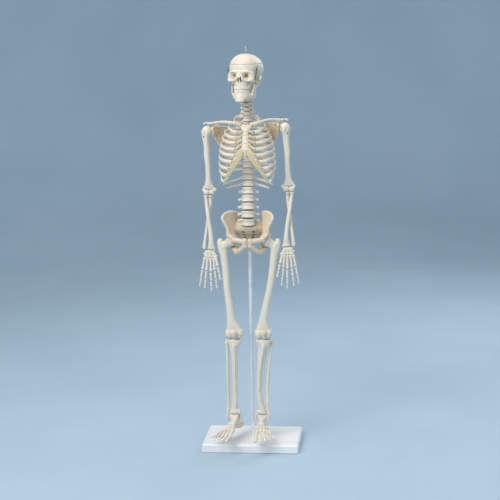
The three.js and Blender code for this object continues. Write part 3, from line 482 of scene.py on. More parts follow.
def bone_plastic(name, skin, deep, rim=(0.86, 0.83, 0.77), hollow_shade_and_stain=0.5, roughness=0.44):
    """Cast ivory plastic: mottled, warmer and browner where it is hollow (painted shade, with the model's brown wash),
    paler on ridges (painted highlight).
    """
    material, tree, bsdf = shader(name)
    at = tree.nodes.new("ShaderNodeTexCoord").outputs["Object"]
    hollow = tree.nodes.new("ShaderNodeAttribute")
    hollow.attribute_name = "hollow"
    mottle = noise(tree, 55, 5, 0.6, at)
    cloud = noise(tree, 14, 3, 0.5, at)
    grain = noise(tree, 900, 3, 0.6, at)
    lumps = noise(tree, 210, 4, 0.6, at)
    colour = mixed(tree, ramp(tree, cloud, 0.35, 0.7, 0, 0.5), skin, tuple(0.94 * c for c in skin[:2]) + (skin[2] * 0.86,))
    colour = mixed(tree, ramp(tree, mottle, 0.5, 0.78, 0, 0.35), colour, rim)
    # Painted shade: hollows are mixed toward the deep colour, which stands for shade in recesses along with the model's
    # brown wash.
    colour = mixed(tree, ramp(tree, hollow.outputs["Fac"], 0.06, 0.85, 0, hollow_shade_and_stain), colour, deep)
    # Painted highlight: ridges are mixed toward the pale rim colour.
    colour = mixed(tree, ramp(tree, hollow.outputs["Fac"], -0.2, -0.9, 0, 0.4), colour, rim)
    tree.links.new(colour, bsdf.inputs["Base Color"])
    tree.links.new(ramp(tree, mottle, 0.3, 0.75, roughness - 0.06, roughness + 0.14), bsdf.inputs["Roughness"])
    bsdf.inputs["Specular IOR Level"].default_value = 0.42
    bsdf.inputs["Subsurface Weight"].default_value = 0.06
    bsdf.inputs["Subsurface Scale"].default_value = 0.004
    bsdf.inputs["Subsurface Radius"].default_value = (1.0, 0.7, 0.45)
    bumped(tree, bsdf, (lumps, 0.35, 0.0007), (grain, 0.22, 0.00025))
    return material


def metal(name, colour, roughness, scale=(400, 400, 8), shine=1):
    """Drawn steel with fine lengthwise lines and dull patches."""
    material, tree, bsdf = shader(name)
    at = tree.nodes.new("ShaderNodeTexCoord").outputs["Object"]
    stretch = tree.nodes.new("ShaderNodeMapping")
    stretch.inputs["Scale"].default_value = scale
    tree.links.new(at, stretch.inputs["Vector"])
    lines = noise(tree, 1, 4, 0.6, stretch.outputs["Vector"])
    patches = noise(tree, 35, 4, 0.6, at)
    tree.links.new(mixed(tree, ramp(tree, patches, 0.4, 0.75, 0, 0.6), colour, tuple(0.72 * c for c in colour)),
                   bsdf.inputs["Base Color"])
    tree.links.new(ramp(tree, lines, 0.3, 0.75, roughness - 0.06, roughness + 0.12), bsdf.inputs["Roughness"])
    bsdf.inputs["Metallic"].default_value = shine
    bumped(tree, bsdf, (lines, 0.12, 0.0002))
    return material


def moulded_plate(name):
    """Glossy white plastic with a faint orange-peel surface, scuffs and dust-dulled patches."""
    material, tree, bsdf = shader(name)
    at = tree.nodes.new("ShaderNodeTexCoord").outputs["Object"]
    peel = noise(tree, 420, 3, 0.5, at)
    cloud = noise(tree, 16, 4, 0.6, at)
    stretch = tree.nodes.new("ShaderNodeMapping")
    stretch.inputs["Scale"].default_value = (30, 700, 30)
    stretch.inputs["Rotation"].default_value = (0, 0, 0.5)
    tree.links.new(at, stretch.inputs["Vector"])
    scuffs = noise(tree, 1, 3, 0.7, stretch.outputs["Vector"])
    colour = mixed(tree, ramp(tree, cloud, 0.4, 0.7), (0.84, 0.84, 0.86), (0.88, 0.87, 0.88))
    colour = mixed(tree, ramp(tree, scuffs, 0.74, 0.84, 0, 0.08), colour, (0.74, 0.73, 0.72))
    tree.links.new(colour, bsdf.inputs["Base Color"])
    tree.links.new(ramp(tree, scuffs, 0.45, 0.8, 0.3, 0.4), bsdf.inputs["Roughness"])
    bsdf.inputs["Specular IOR Level"].default_value = 0.5
    bumped(tree, bsdf, (peel, 0.10, 0.0003), (scuffs, 0.03, 0.0001))
    return material


# Each bone material's second colour is painted shade for its hollows, mixed with the model's brown wash.
IVORY = bone_plastic("bone_ivory", (0.78, 0.69, 0.58), (0.38, 0.24, 0.12), hollow_shade_and_stain=0.66)
WARM = bone_plastic("bone_warm", (0.76, 0.65, 0.52), (0.38, 0.23, 0.11), hollow_shade_and_stain=0.74)
# The scapula, pelvis and sacrum bases are browner all over: partly painted shade, for the scapula behind the ribs and
# the sacrum and pelvis deep in the pelvic bowl, partly the model's brown wash.
FOSSA = bone_plastic("bone_scapula", (0.72, 0.56, 0.40), (0.40, 0.22, 0.10), rim=(0.86, 0.79, 0.69), hollow_shade_and_stain=0.8)
PELVIS = bone_plastic("bone_pelvis", (0.76, 0.62, 0.47), (0.42, 0.26, 0.13), rim=(0.88, 0.82, 0.74), hollow_shade_and_stain=0.75)
SACRAL = bone_plastic("bone_sacrum", (0.62, 0.52, 0.39), (0.26, 0.17, 0.09), rim=(0.78, 0.68, 0.55), hollow_shade_and_stain=0.85)
CAP = bone_plastic("bone_cap", (0.77, 0.65, 0.545), (0.45, 0.31, 0.20))
SKULL = bone_plastic("bone_skull", (0.77, 0.68, 0.56), (0.30, 0.18, 0.08), hollow_shade_and_stain=0.85)
TOOTH = bone_plastic("tooth_white", (0.79, 0.73, 0.63), (0.50, 0.38, 0.24), roughness=0.34)
COOL = bone_plastic("bone_limb", (0.78, 0.70, 0.60), (0.44, 0.31, 0.19), hollow_shade_and_stain=0.62)
CARTILAGE = bone_plastic("cartilage_yellow", (0.68, 0.56, 0.34), (0.40, 0.28, 0.12), rim=(0.78, 0.69, 0.48))
# Painted shadow: the discs are dark brown to stand for the shadowed gaps between vertebrae.
SHADOW_DISC = bone_plastic("disc_painted_gap_shadow", (0.16, 0.115, 0.075), (0.07, 0.045, 0.03), rim=(0.22, 0.17, 0.11))
PLATE = moulded_plate("plate_white")
STEEL = metal("rod_polished_steel", (0.92, 0.93, 0.95), 0.34, shine=0.55)
CORE = metal("core_grey_steel", (0.40, 0.41, 0.42), 0.4)
SPRING = metal("spring_dark_steel", (0.075, 0.07, 0.068), 0.42, (900, 900, 900))
PIN = metal("pin_dark_steel", (0.10, 0.085, 0.075), 0.45, (900, 900, 900))
EYELET = metal("eyelet_pale_steel", (0.66, 0.69, 0.71), 0.28, (600, 600, 60))


# ------------------------------------------------------------ stand
def loop(half_x, half_y, corner, z):
    """Points round a rectangle with round corners, nine to a corner."""
    points = []
    for quarter, (side_x, side_y) in enumerate(((1, 1), (-1, 1), (-1, -1), (1, -1))):
        for k in range(9):
            a = math.radians(90 * quarter + 90 * k / 8)
            points.append((side_x * (half_x - corner) + corner * math.cos(a),
                           side_y * (half_y - corner) + corner * math.sin(a), z))
    return points


def base_plate():
    low, high = node_box("base_plate")
    half_x, half_y, top = high[0], high[1], high[2]
    count = 36
    rows = [loop(half_x - 1.2, half_y - 1.2, 2, low[2]), loop(half_x - 0.3, half_y - 0.3, 2.4, 0.4),
            loop(half_x, half_y, 2.6, 1.4), loop(half_x, half_y, 2.6, top - 3.6)]
    for inset, drop in ((0.25, 2.7), (1.4, 1.2), (2.9, 0.3), (4.2, 0.0), (9.6, 0.0), (10.0, 0.45), (10.7, 0.45),
                        (11.1, 0.0), (30, 0.0), (55, 0.0)):
        rows.append(loop(half_x - inset, half_y - inset, max(2.6 - inset * 0.05, 1.4), top - drop))
    for radius, z in ((5.2, top), (4.5, top - 0.5), (4.3, top - 1.2), (4.3, top - 11)):
        turns = [math.radians(5 + 10 * k) for k in range(count)]
        rows.append([(radius * math.cos(a), radius * math.sin(a), z) for a in turns])
    points = np.array([p for row in rows for p in row])
    faces = [list(range(count))[::-1]]
    for r in range(len(rows) - 1):
        for k in range(count):
            n = (k + 1) % count
            faces.append([r * count + k, r * count + n, (r + 1) * count + n, (r + 1) * count + k])
    faces.append([(len(rows) - 1) * count + k for k in range(count)])
    thing = piece("stand_plate", points, faces, "stand", "base_plate", "plate_white", PLATE, smooth=False)
    return thing


def support_rod():
    low, high = node_box("support_rod")
    r, z0, z1 = high[0], low[2], high[2]
    profile = [(0, z0), (r - 0.5, z0), (r, z0 + 0.5)]
    profile += [(r, z) for z in np.linspace(z0 + 1, z1 - 1, 24)]
    profile += [(r, z1 - 0.5), (r - 0.5, z1), (0, z1)]
    piece("stand_rod", *lathe(profile, 40), "stand", "support_rod", "rod_steel", STEEL)


# ------------------------------------------------------------ heights and the line of the spine
PIVOT = joint_at("neck_turn")
NECK, THORAX, LUMBAR = 62.0, 145.0, 78.0
NECK_Z = PIVOT[2] - NECK
THORAX_Z = NECK_Z - THORAX
LUMBAR_Z = THORAX_Z - LUMBAR
NOTCH_Z = NECK_Z - 17
HIP_Z = joint_at("hip_right")[2]
SOLE_Z = 32.0
KNOTS = smooth_path([
    (LUMBAR_Z - 12, -25), (LUMBAR_Z, -28), (LUMBAR_Z + 27.3, -29.5), (THORAX_Z, -19), (THORAX_Z + 58, -6),
    (THORAX_Z + 101.5, -6.5), (NECK_Z, -16), (NECK_Z + 31, -22), (PIVOT[2], -25), (PIVOT[2] + 12, -25)], 12)


def spine_y(z):
    return float(np.interp(z, KNOTS[:, 0], KNOTS[:, 1]))


def spine_lean(z):
    return -math.atan((spine_y(z + 7) - spine_y(z - 7)) / 14)


def spine_width(z):
    share = min(1, (z - LUMBAR_Z) / (PIVOT[2] - LUMBAR_Z) * 1.15)
    return 11.8 + (7 - 11.8) * share


REGIONS = (("l", 5, LUMBAR_Z, THORAX_Z), ("t", 12, THORAX_Z, NECK_Z), ("c", 7, NECK_Z, PIVOT[2]))
SPINE = {
    f"{letter}{count - i}": (letter, (high - low) / count, low + (high - low) / count * (i + 0.5))
    for letter, count, low, high in REGIONS
    for i in range(count)
}


def leaned(points, lean, y, z):
    c, s = math.cos(lean), math.sin(lean)
    p = np.asarray(points)
    return np.stack([p[:, 0], p[:, 1] * c - p[:, 2] * s + y, p[:, 1] * s + p[:, 2] * c + z], 1)


def vertebral_body(clay, w, half):
    """A spool-shaped body: a waist between two rims."""
    deep = w * 0.82
    clay.tube([(0, 0, -half + 0.4, w * 1.06, deep), (0, 0, -half * 0.5, w * 0.88, deep * 0.86),
               (0, 0, 0, w * 0.72, deep * 0.74), (0, 0, half * 0.5, w * 0.88, deep * 0.86),
               (0, 0, half - 0.4, w * 1.05, deep)], soft=0.5, cap=0.5, per=3)


def vertebra(name):
    letter, pitch, z = SPINE[name]
    w = spine_width(z)
    half = pitch / 2 / math.cos(spine_lean(z))
    gap = {"l": 1.0, "t": 0.7, "c": 0.8}[letter]
    rise = pitch * 0.1
    clay = Clay(0.75)
    body = w * (1 if letter == "c" else 1.13)
    vertebral_body(clay, body, half - gap)
    for _, s in SIDES:
        clay.tube([(s * w * 0.6, w * 0.42, rise + 0.5, 2.1, 1.6), (s * w * 0.74, w * 1.05, rise, 2.2, 1.7),
                   (s * w * 0.35, w * 1.45, rise - 0.6, 2.6, 1.5), (0, w * 1.66, rise - 1, 2.6, 1.5)],
                  soft=1.6, across=(0, 0, 1))
        facet_y, facet_x = w * (1.25 if letter != "c" else 0.95), s * w * (0.62 if letter != "c" else 0.95)
        clay.ball((facet_x, facet_y, rise + pitch * 0.34), (2.1, 2.0, 2.9), soft=1.6)
        clay.ball((facet_x * 0.92, facet_y + 1.2, rise - pitch * 0.38), (2.0, 1.9, 2.9), soft=1.6)
    if letter == "l":
        clay.tube([(0, w * 1.6, rise - 0.4, 1.4, 3.6), (0, w * 2.2, rise - 1.2, 1.2, 3.8),
                   (0, w * 2.7, rise - 2.4, 1.5, 3.4)], soft=1.4)
        for _, s in SIDES:
            clay.tube([(s * w * 0.7, w * 0.9, rise + 0.5, 2.7, 1.6), (s * w * 1.35, w * 0.98, rise - 2.2, 2.7, 1.5),
                       (s * w * 1.84, w * 1.04, rise - 3.4, 3.1, 1.7)], soft=1.6, across=(0, 0, 1))
    elif letter == "t":
        clay.tube([(0, w * 1.6, rise - 0.4, 1.3, 2.3), (0, w * 2.15, rise - w * 0.35, 1.1, 2.2),
                   (0, w * 2.65, rise - w * 0.78, 1.2, 1.7)], soft=1.4)
        for _, s in SIDES:
            clay.tube([(s * w * 0.66, w * 1.1, rise + 0.4, 1.9, 1.6), (s * w * 1.15, w * 1.45, rise + 0.5, 1.6, 1.4),
                       (s * w * 1.55, w * 1.7, rise + 0.6, 1.9, 1.7)], soft=1.6, across=(0, 0, 1))
    else:
        clay.tube([(0, w * 1.6, rise - 0.6, 1.5, 1.8), (0, w * 2.2, rise - w * 0.25, 1.2, 1.6)], soft=1.4)
        for _, s in SIDES:
            clay.ball((s * 1.7, w * 2.55, rise - w * 0.42), (1.5, 2.2, 1.4), soft=1.0)
            clay.tube([(s * w * 0.7, w * 0.1, rise, 2.4, 2.4), (s * w * 1.25, w * 0.3, rise + 0.2, 2.1, 2.0),
                       (s * w * 1.62, w * 0.4, rise - 0.4, 2.1, 1.6)], soft=1.4, across=(0, 0, 1))
            clay.ball((s * w * 1.42, w * 0.55, rise), (2.8, 3.6, 4.0), soft=1.0)
            clay.ball((s * w * 1.12, w * 0.3, rise - pitch * 0.5), (1.5, 5, 1.5), soft=0.6, cut=True)
            clay.ball((s * w * 0.78, 0, half - gap + 0.2), (1.6, w * 0.55, 1.6), soft=1.2)
    points, quads = clay.mesh()
    points = loosen(points, quads)
    shade = hollowness(points, quads)
    placed = leaned(points, spine_lean(z), spine_y(z), z)
    piece(f"vertebra_body_{name}", placed, quads, "torso", f"vertebra_{name}", "bone_white",
          IVORY if letter != "c" else WARM, shade)
    disc(name, body, half, gap, z)


def disc(name, w, half, gap, z):
    """The soft pad under a vertebra, bulging a little at its edge."""
    deep = w * 0.82
    thick = gap * 2 + 0.3
    rows = []
    for share, r in ((-0.5, 0.0), (-0.5, 0.86), (-0.3, 0.95), (0, 0.975), (0.3, 0.95), (0.5, 0.86), (0.5, 0.0)):
        rows.append((r, share * thick))
    points, faces = lathe(rows, 40)
    points[:, 0] *= w
    points[:, 1] *= deep
    points[:, 2] -= half
    placed = leaned(points, spine_lean(z), spine_y(z), z)
    replaced = f"vertebra_{name}" if name != "c2" else "atlas_and_axis"
    # Its dark colour is painted shadow for the gap between vertebrae.
    piece(f"disc_under_{name}", placed, faces, "torso", replaced, "bone_white", SHADOW_DISC)


def atlas_and_axis():
    pitch = NECK / 7
    z2, z1 = SPINE["c2"][2], SPINE["c1"][2]
    rise, w = z1 - z2, 7.0
    clay = Clay(0.7, at=(0, spine_y(z2), z2))
    vertebral_body(clay, w, pitch / 2 - 0.9)
    clay.tube([(0, 0, 2, 3, 3), (0, -0.6, rise, 2.4, 2.4), (0, -0.6, rise + 3, 1.9, 1.9)], soft=1.6)
    clay.tube([(0, w * 1.5, 0.4, 2.2, 2.2), (0, w * 2.2, -1.4, 1.8, 2.2), (0, w * 2.6, -2.8, 2.2, 1.8)], soft=1.4)
    for _, s in SIDES:
        clay.tube([(s * w * 0.6, w * 0.42, 1, 2.1, 1.6), (s * w * 0.78, w * 1.05, 0.6, 2.2, 1.7),
                   (0, w * 1.6, 0.2, 2.6, 1.6)], soft=1.6, across=(0, 0, 1))
        clay.tube([(s * w * 0.7, 1.5, 1.5, 2.4, 2.6), (s * w * 0.9, 1.5, rise + 1, 2.8, 3.2)], soft=1.4)
        clay.tube([(s * w * 0.7, 1, 0, 1.7, 2.2), (s * w * 1.5, 2.6, -1, 1.5, 1.7)], soft=1.4, across=(0, 0, 1))
        clay.tube([(s * w * 0.85, 2, rise, 1.9, 2.6), (s * 12.9, 2.8, rise - 0.4, 1.6, 1.7)], soft=1.4,
                  across=(0, 0, 1))
        clay.tube([(0, -5.2, rise, 2.2, 1.4), (s * 5.2, -2.8, rise, 2.2, 1.7), (s * 7.2, 2.5, rise, 2.2, 1.9),
                   (s * 5.4, 8.4, rise, 1.9, 1.6), (0, 11, rise, 2.1, 1.7)], soft=1.2, across=(0, 0, 1))
    cast("vertebra_body_c2_c1", clay, "torso", "atlas_and_axis", "bone_white", WARM)
    disc("c2", w, pitch / 2, 0.9, z2)


def spine_core():
    low, high = LUMBAR_Z - 7, PIVOT[2] + 7.5
    rows = [(0, PIVOT[1] if z > PIVOT[2] - 6 else spine_y(z), z, 1.3) for z in np.linspace(low, high, 19)]
    piece("spine_core_rod", *sweep(rows, across=(1, 0, 0), sides=12, per=4), "torso", "spine_core", "core_steel", CORE)


# ------------------------------------------------------------ pelvis
def sacrum():
    y0, z0 = spine_y(LUMBAR_Z), LUMBAR_Z - 1.3
    clay = Clay(0.8)
    clay.tube([(0, y0 + 0.5, z0, 11.4, 8.8), (0, y0 + 3, z0 - 8, 18.5, 8), (0, -12, z0 - 19, 19.4, 6.4),
               (0, -4, z0 - 31, 14, 5.2), (0, -6.4, z0 - 42, 7.8, 3.6), (0, -9.4, z0 - 48.5, 3.6, 2.6)], soft=2)
    clay.tube([(0, y0 + 8, z0 - 7, 24, 5.5), (0, -9, z0 - 19, 26.5, 5.6), (0, -2, z0 - 30, 21, 5), (0, -4, z0 - 40, 11, 4)], soft=2.5)
    for _, s in SIDES:
        clay.tube([(s * 11, y0 + 10, z0 - 4, 7, 5), (s * 18, y0 + 14, z0 - 1.5, 9.6, 5), (s * 23, y0 + 16, z0 - 4.5, 11, 5)],
                  soft=2.5, across=(0, 0, 1))
    for k, (y, z, r) in enumerate(((-9, z0 - 51, 2.6), (-11, z0 - 53.6, 2.0), (-13, z0 - 55.4, 1.5))):
        clay.ball((0, y, z), r, soft=0.5)
    for _, s in SIDES:
        clay.tube([(s * 8, y0 + 5, z0 - 6, 5.4, 6), (s * 16, y0 + 9, z0 - 6.5, 6.4, 6), (s * 25.2, y0 + 14, z0 - 9, 7.8, 6.4)],
                  soft=3, across=(0, 0, 1))
        clay.ball((s * 9.5, y0 + 11, z0 + 1.2), (2.2, 2.2, 3.4), soft=2)
        for k in range(4):
            z = z0 - 13 - 6.6 * k
            y = (y0 + 0.5, -15.5, -11.5, -8.5)[k]
            x = s * (10.6 - 1.3 * k)
            clay.ball((x, y - 1.5, z), (2.6 - 0.15 * k, 6.5, 2.1 - 0.1 * k), soft=0.9, cut=True)
            clay.ball((x, y + 17 - 2 * k, z), (1.5, 4, 1.3), soft=0.8, cut=True)
    for k in range(3):
        z = z0 - 10 - 6.8 * k
        y = (y0 - 6.4, -20.4, -15.6)[k]
        clay.tube([(-8 + k, y + 0.4, z, 0.7, 0.8), (0, y - 0.3, z, 0.7, 0.8), (8 - k, y + 0.4, z, 0.7, 0.8)],
                  soft=0.7, cut=True, across=(0, 0, 1))
    clay.tube([(0, y0 + 9, z0 - 6, 1.5, 3), (0, y0 + 16, z0 - 14, 1.6, 3.4), (0, 5.5, z0 - 26, 1.5, 2.4)], soft=2)
    for z, y in ((z0 - 8, y0 + 13.5), (z0 - 15, y0 + 19), (z0 - 22, 7.6)):
        clay.ball((0, y, z), (1.8, 2, 2.4), soft=1.6)
    clay.bar((0, 0, HIP_Z - 9), (0, 0, HIP_Z + 18), 7.4, soft=2.5)
    clay.bar((0, 0, HIP_Z - 34), (0, 0, HIP_Z + 15.4), 4.5, soft=0.4, cut=True)
    cast("sacrum_bone", clay, "torso", "sacrum", "bone_warm", SACRAL)


def hip_bone(side, s):
    clay = Clay(0.85, at=joint_at(f"hip_{side}"))
    fan = (s * 0.55, -0.82, 0.14)
    clay.tube([(s * 1, -1, 6, 12, 9), (-s * 0.6, 0, 17, 13.5, 4.4), (-s * 0.8, 2.4, 31, 17.6, 2.2),
               (-s * 0.4, 4.6, 43, 23, 1.9), (-s * 0.4, 5, 52, 23, 2.1), (-s * 0.4, 5, 57, 17, 2.1)], soft=2, across=fan)
    crest = [(s * 7.6, -14.4, 34, 2.8, 2.4), (s * 12.6, -17.6, 43.5, 3.0, 2.9), (s * 15, -17, 50.5, 3.2, 2.8),
             (s * 11, -9, 57, 2.9, 2.5), (s * 3.4, 1, 59.6, 3.1, 2.5), (-s * 3, 12, 58.6, 2.8, 2.4),
             (-s * 8.6, 22.4, 54.5, 3.0, 2.6), (-s * 12, 30.5, 50.5, 3.2, 3.0), (-s * 12.4, 31, 43.5, 2.8, 2.4)]
    clay.tube(crest, soft=3.0, across=fan)
    clay.tube([(s * 10.6, -16.6, 40, 2.8, 2.4), (s * 5.4, -15, 28, 3.4, 2.8), (s * 3.6, -14.2, 17, 4.4, 3.6),
               (-s * 4, -15.5, 9, 4.6, 4.2)], soft=3, across=(s * 0.8, 0, 0.6))
    clay.tube([(-s * 10, 27, 40, 3.4, 3.2), (-s * 5, 24, 28, 4.0, 3.4), (s * 0, 17, 17, 5, 4.4),
               (-s * 1, 12, 6, 6.4, 6)], soft=3.5)
    clay.ball((0, 0, 0), 15.2, soft=4)
    clay.tube([(0, -9, 3, 7, 6), (-s * 7.5, -15.5, 4.4, 5.2, 4.8), (-s * 15, -19.5, 4, 5.0, 4.2),
               (-s * 31.4, -24, 1.8, 5.4, 3.6)], soft=2.5, across=(0, 0, 1))
    clay.tube([(-s * 30.9, -24, 5.6, 4.5, 4.0), (-s * 30.9, -22.6, -1, 4.6, 3.8), (-s * 30.9, -21.5, -8, 4.5, 3.6)], soft=2)
    clay.tube([(-s * 30.4, -21.5, -6, 4.6, 3.6), (-s * 24.6, -17, -13, 5.2, 3.6), (-s * 18, -11, -18.6, 5.6, 4.4),
               (-s * 12.6, -4, -21.6, 6.6, 6), (-s * 9, 3.5, -18.4, 6.8, 6.6), (-s * 3.5, 7, -12, 6.4, 6.8),
               (-s * 1, 7, -3, 7.5, 7.5)], soft=2.5)
    clay.ball((-s * 4, 13, -9), (2, 4.4, 2.4), soft=2)
    clay.bar((-s * 0.4, 0.2, 0.4), (s * 20, -12.4, -14.6), 15.8, soft=0.8, cut=True)
    clay.ball((0, 0, 0), 11.7, soft=0.8, cut=True)
    cast(f"hip_bone_cast_{side}", clay, "torso", f"hip_bone_{side}", "bone_warm", PELVIS)


# ------------------------------------------------------------ legs
def femur(side, s):
    hip, knee = joint_at(f"hip_{side}"), joint_at(f"knee_{side}")
    kx, ky, kz = knee - hip
    out = s * 20.5
    bow = -4.5 if s < 0 else 0
    clay = Clay(0.95, at=hip)
    clay.ball((0, 0, 0), 11.0, soft=1.5)
    clay.ball((-s * 11.4, 0.6, -1), (2, 2, 2), soft=0.8, cut=True)
    clay.tube([(s * 3, 0, -1.6, 8.6, 7.4), (out * 0.5, 0.8, -6.4, 8.2, 6.8), (out * 0.88, 2.6, -11.4, 8.8, 7.8)],
              soft=2.5, across=(0, 0, 1))
    clay.tube([(out + s * 2.4, 4.4, 1.8, 5.0, 5.2), (out + s * 2.4, 4.2, -7, 6.6, 7.4), (out - s * 1.4, 3, -22, 6.8, 7.2)],
              soft=3)
    clay.ball((out - s * 3.5, 8.6, -1.5), (3.4, 3.0, 4.4), soft=1.5, cut=True)
    clay.tube([(out, 7, -6, 1.9, 2), (out * 0.78, 8.4, -15, 1.9, 2), (out * 0.56, 7.2, -23.5, 3.4, 3.2)], soft=2.5)
    clay.tube([(out, -4.5, -6, 1.4, 1.4), (out * 0.8, -4.2, -14, 1.2, 1.2), (out * 0.6, -1.2, -22, 1.4, 1.4)], soft=2)
    clay.tube([(out - s * 3, 3, -14, 8.4, 7.8), (s * 15.2, 1.2, -34, 7.7, 7.2), (s * 12.6 + kx * 0.1, 0, kz * 0.33, 7.1, 6.9),
               (s * 8 + kx * 0.3 + bow * 0.6, ky * 0.5 - 1.4, kz * 0.52, 7, 6.8),
               (kx * 0.62 + s * 2 + bow, ky - 1.6, kz * 0.72, 7.7, 6.8), (kx * 0.9 + bow, ky - 1.2, kz + 29, 9.6, 7.4),
               (kx + bow * 0.4, ky - 0.6, kz + 15, 13.4, 7.9), (kx, ky - 0.4, kz + 5, 15.8, 8.2)], soft=3, cap=5)
    clay.tube([(out * 0.8, 8, -34, 1.1, 1.2), (s * 8.6 + kx * 0.28 + bow * 0.6, ky * 0.5 + 5.4, kz * 0.52, 1.0, 1.3),
               (kx * 0.7 + bow, ky + 5.2, kz * 0.74, 1.1, 1.2)], soft=2.5)
    for _, t in SIDES:
        clay.ball((kx + t * 9.4, ky + 0.2, kz), (8.8, 10.3, 10.4), soft=3.4)
        clay.ball((kx + t * 14.6, ky + 1, kz + 5), (3.0, 5.4, 5.2), soft=2.5)
    clay.tube([(kx, ky - 11.4, kz + 12, 2.6, 2.4), (kx, ky - 11.8, kz + 3, 3.4, 2.2), (kx, ky - 9.5, kz - 6, 2.8, 2.4)],
              soft=2, cut=True)
    clay.tube([(kx, ky + 4, kz - 11, 4.0, 6), (kx, ky + 10, kz - 4, 4.2, 5), (kx, ky + 11, kz + 4, 3.4, 4)],
              soft=1.8, cut=True)
    cast(f"femur_bone_{side}", clay, f"thigh_{side}", f"femur_{side}", "bone_white", COOL)
    knob = Clay(0.7, at=knee + (0, -14.35, 4))
    knob.ball((0, 0.3, 1.2), (7.8, 3.1, 6.6), soft=2)
    knob.tube([(0, 0.2, 2, 5.4, 2.8), (0, 0.4, -5, 3.4, 2.2), (0, 0.6, -8, 1.8, 1.6)], soft=2.5)
    for k in range(5):
        knob.ball((-5 + 2.5 * k, -4.2, 2), (0.5, 0.9, 4.6), soft=0.5, cut=True)
    cast(f"patella_cast_{side}", knob, f"thigh_{side}", f"patella_{side}", "bone_warm", WARM)


def tibia(side, s):
    knee, ankle = joint_at(f"knee_{side}"), joint_at(f"ankle_{side}")
    ax, ay, az = ankle - knee
    clay = Clay(0.9, at=knee)
    top = -11.5
    bow = -2.3 - 1.3 * s
    clay.tube([(0, 0.6, top - 0.5, 15.2, 10.6), (0, 0.6, top - 4.5, 15.8, 11), (0, -0.4, top - 13, 10.4, 9),
               (ax * 0.1 - s * 0.6 + bow * 0.6, -1.2, top - 24, 8.4, 7.9), (ax * 0.25 - s * 1.4 + bow * 0.9, -1.5, top - 38, 7.1, 7),
               (ax * 0.6 - s * 2.8 + bow, ay * 0.5 - 2, az * 0.6, 6.2, 6.3), (ax * 0.85 - s * 1.6 + bow * 0.8, ay - 1.4, az + 34, 6.2, 6.1),
               (ax, ay - 0.4, az + 18, 7.6, 6.6), (ax, ay, az + 9.6, 10.4, 8.4)], soft=2, cap=1.4)
    clay.tube([(0, -9.4, top - 11, 3.6, 3), (0, -9.8, top - 16, 3.2, 2.8), (ax * 0.1 - s * 0.8, -8.8, top - 26, 1.8, 2.2),
               (ax * 0.4 - s * 2.4 + bow * 0.8, -9, az * 0.42, 1.2, 1.5), (ax * 0.7 - s * 2.6 + bow * 0.9, -8, az * 0.66, 1.2, 1.3)], soft=2.6)
    clay.tube([(s * 8.5, 5, top - 8, 2.6, 2.6), (s * 6, 4.6, top - 18, 1.5, 1.5), (s * 3.6 + bow, 3.4, az * 0.5, 0.9, 0.9),
               (ax + s * 6, ay + 1, az + 22, 1.4, 1.4)], soft=2.4)
    for _, t in SIDES:
        clay.ball((t * 8.0, 0.4, top + 4.6), (6.2, 8.6, 4.9), soft=1.2, cut=True)
        clay.ball((t * 1.7, 1.4, top + 0.2), (1.1, 2.6, 0.9), soft=1.0)
    clay.ball((0, 12.5, top - 4), (4, 3, 6), soft=2, cut=True)
    clay.tube([(ax - s * 8.6, ay - 0.4, az + 13, 3.6, 6), (ax - s * 12, ay, az + 4, 2.5, 5.2), (ax - s * 12.6, ay + 0.4, az - 4.6, 1.9, 3.2)],
              soft=2.5)
    clay.bar((ax - 10.3, ay, az), (ax + 10.3, ay, az), 8.5, soft=0.9, cut=True)
    cast(f"tibia_bone_{side}", clay, f"shank_{side}", f"tibia_{side}", "bone_white", COOL)
    thin = Clay(0.8, at=knee)
    thin.tube([(s * 16.6, 7, -16.8, 2.6, 2.8), (s * 17.2, 7, -21.5, 3.9, 3.9), (s * 16, 6, -29, 3.1, 3.1),
               (s * 14.6 + bow * 0.6, 5, -42, 3.3, 3.3), (s * 13.4 + ax * 0.5 + bow * 0.8, 4.2, az * 0.55, 3.4, 3.4),
               (s * 13 + ax + bow * 0.6, ay + 1.2, az + 30, 3.3, 3.3), (s * 14.6 + ax, ay, az + 8, 3.2, 4.6),
               (s * 15.2 + ax, ay, az - 1, 3.0, 4.8), (s * 15.3 + ax, ay + 0.6, az - 8.4, 2.0, 3.0)], soft=1.5)
    thin.tube([(s * 16, 3.6, -32, 0.7, 0.8), (s * 13.8 + ax * 0.5 + bow * 0.8, 1, az * 0.55, 0.6, 0.9),
               (s * 14 + ax, ay - 1.6, az + 34, 0.7, 0.8)], soft=2.2)
    cast(f"fibula_bone_{side}", thin, f"shank_{side}", f"fibula_{side}", "bone_white", COOL)


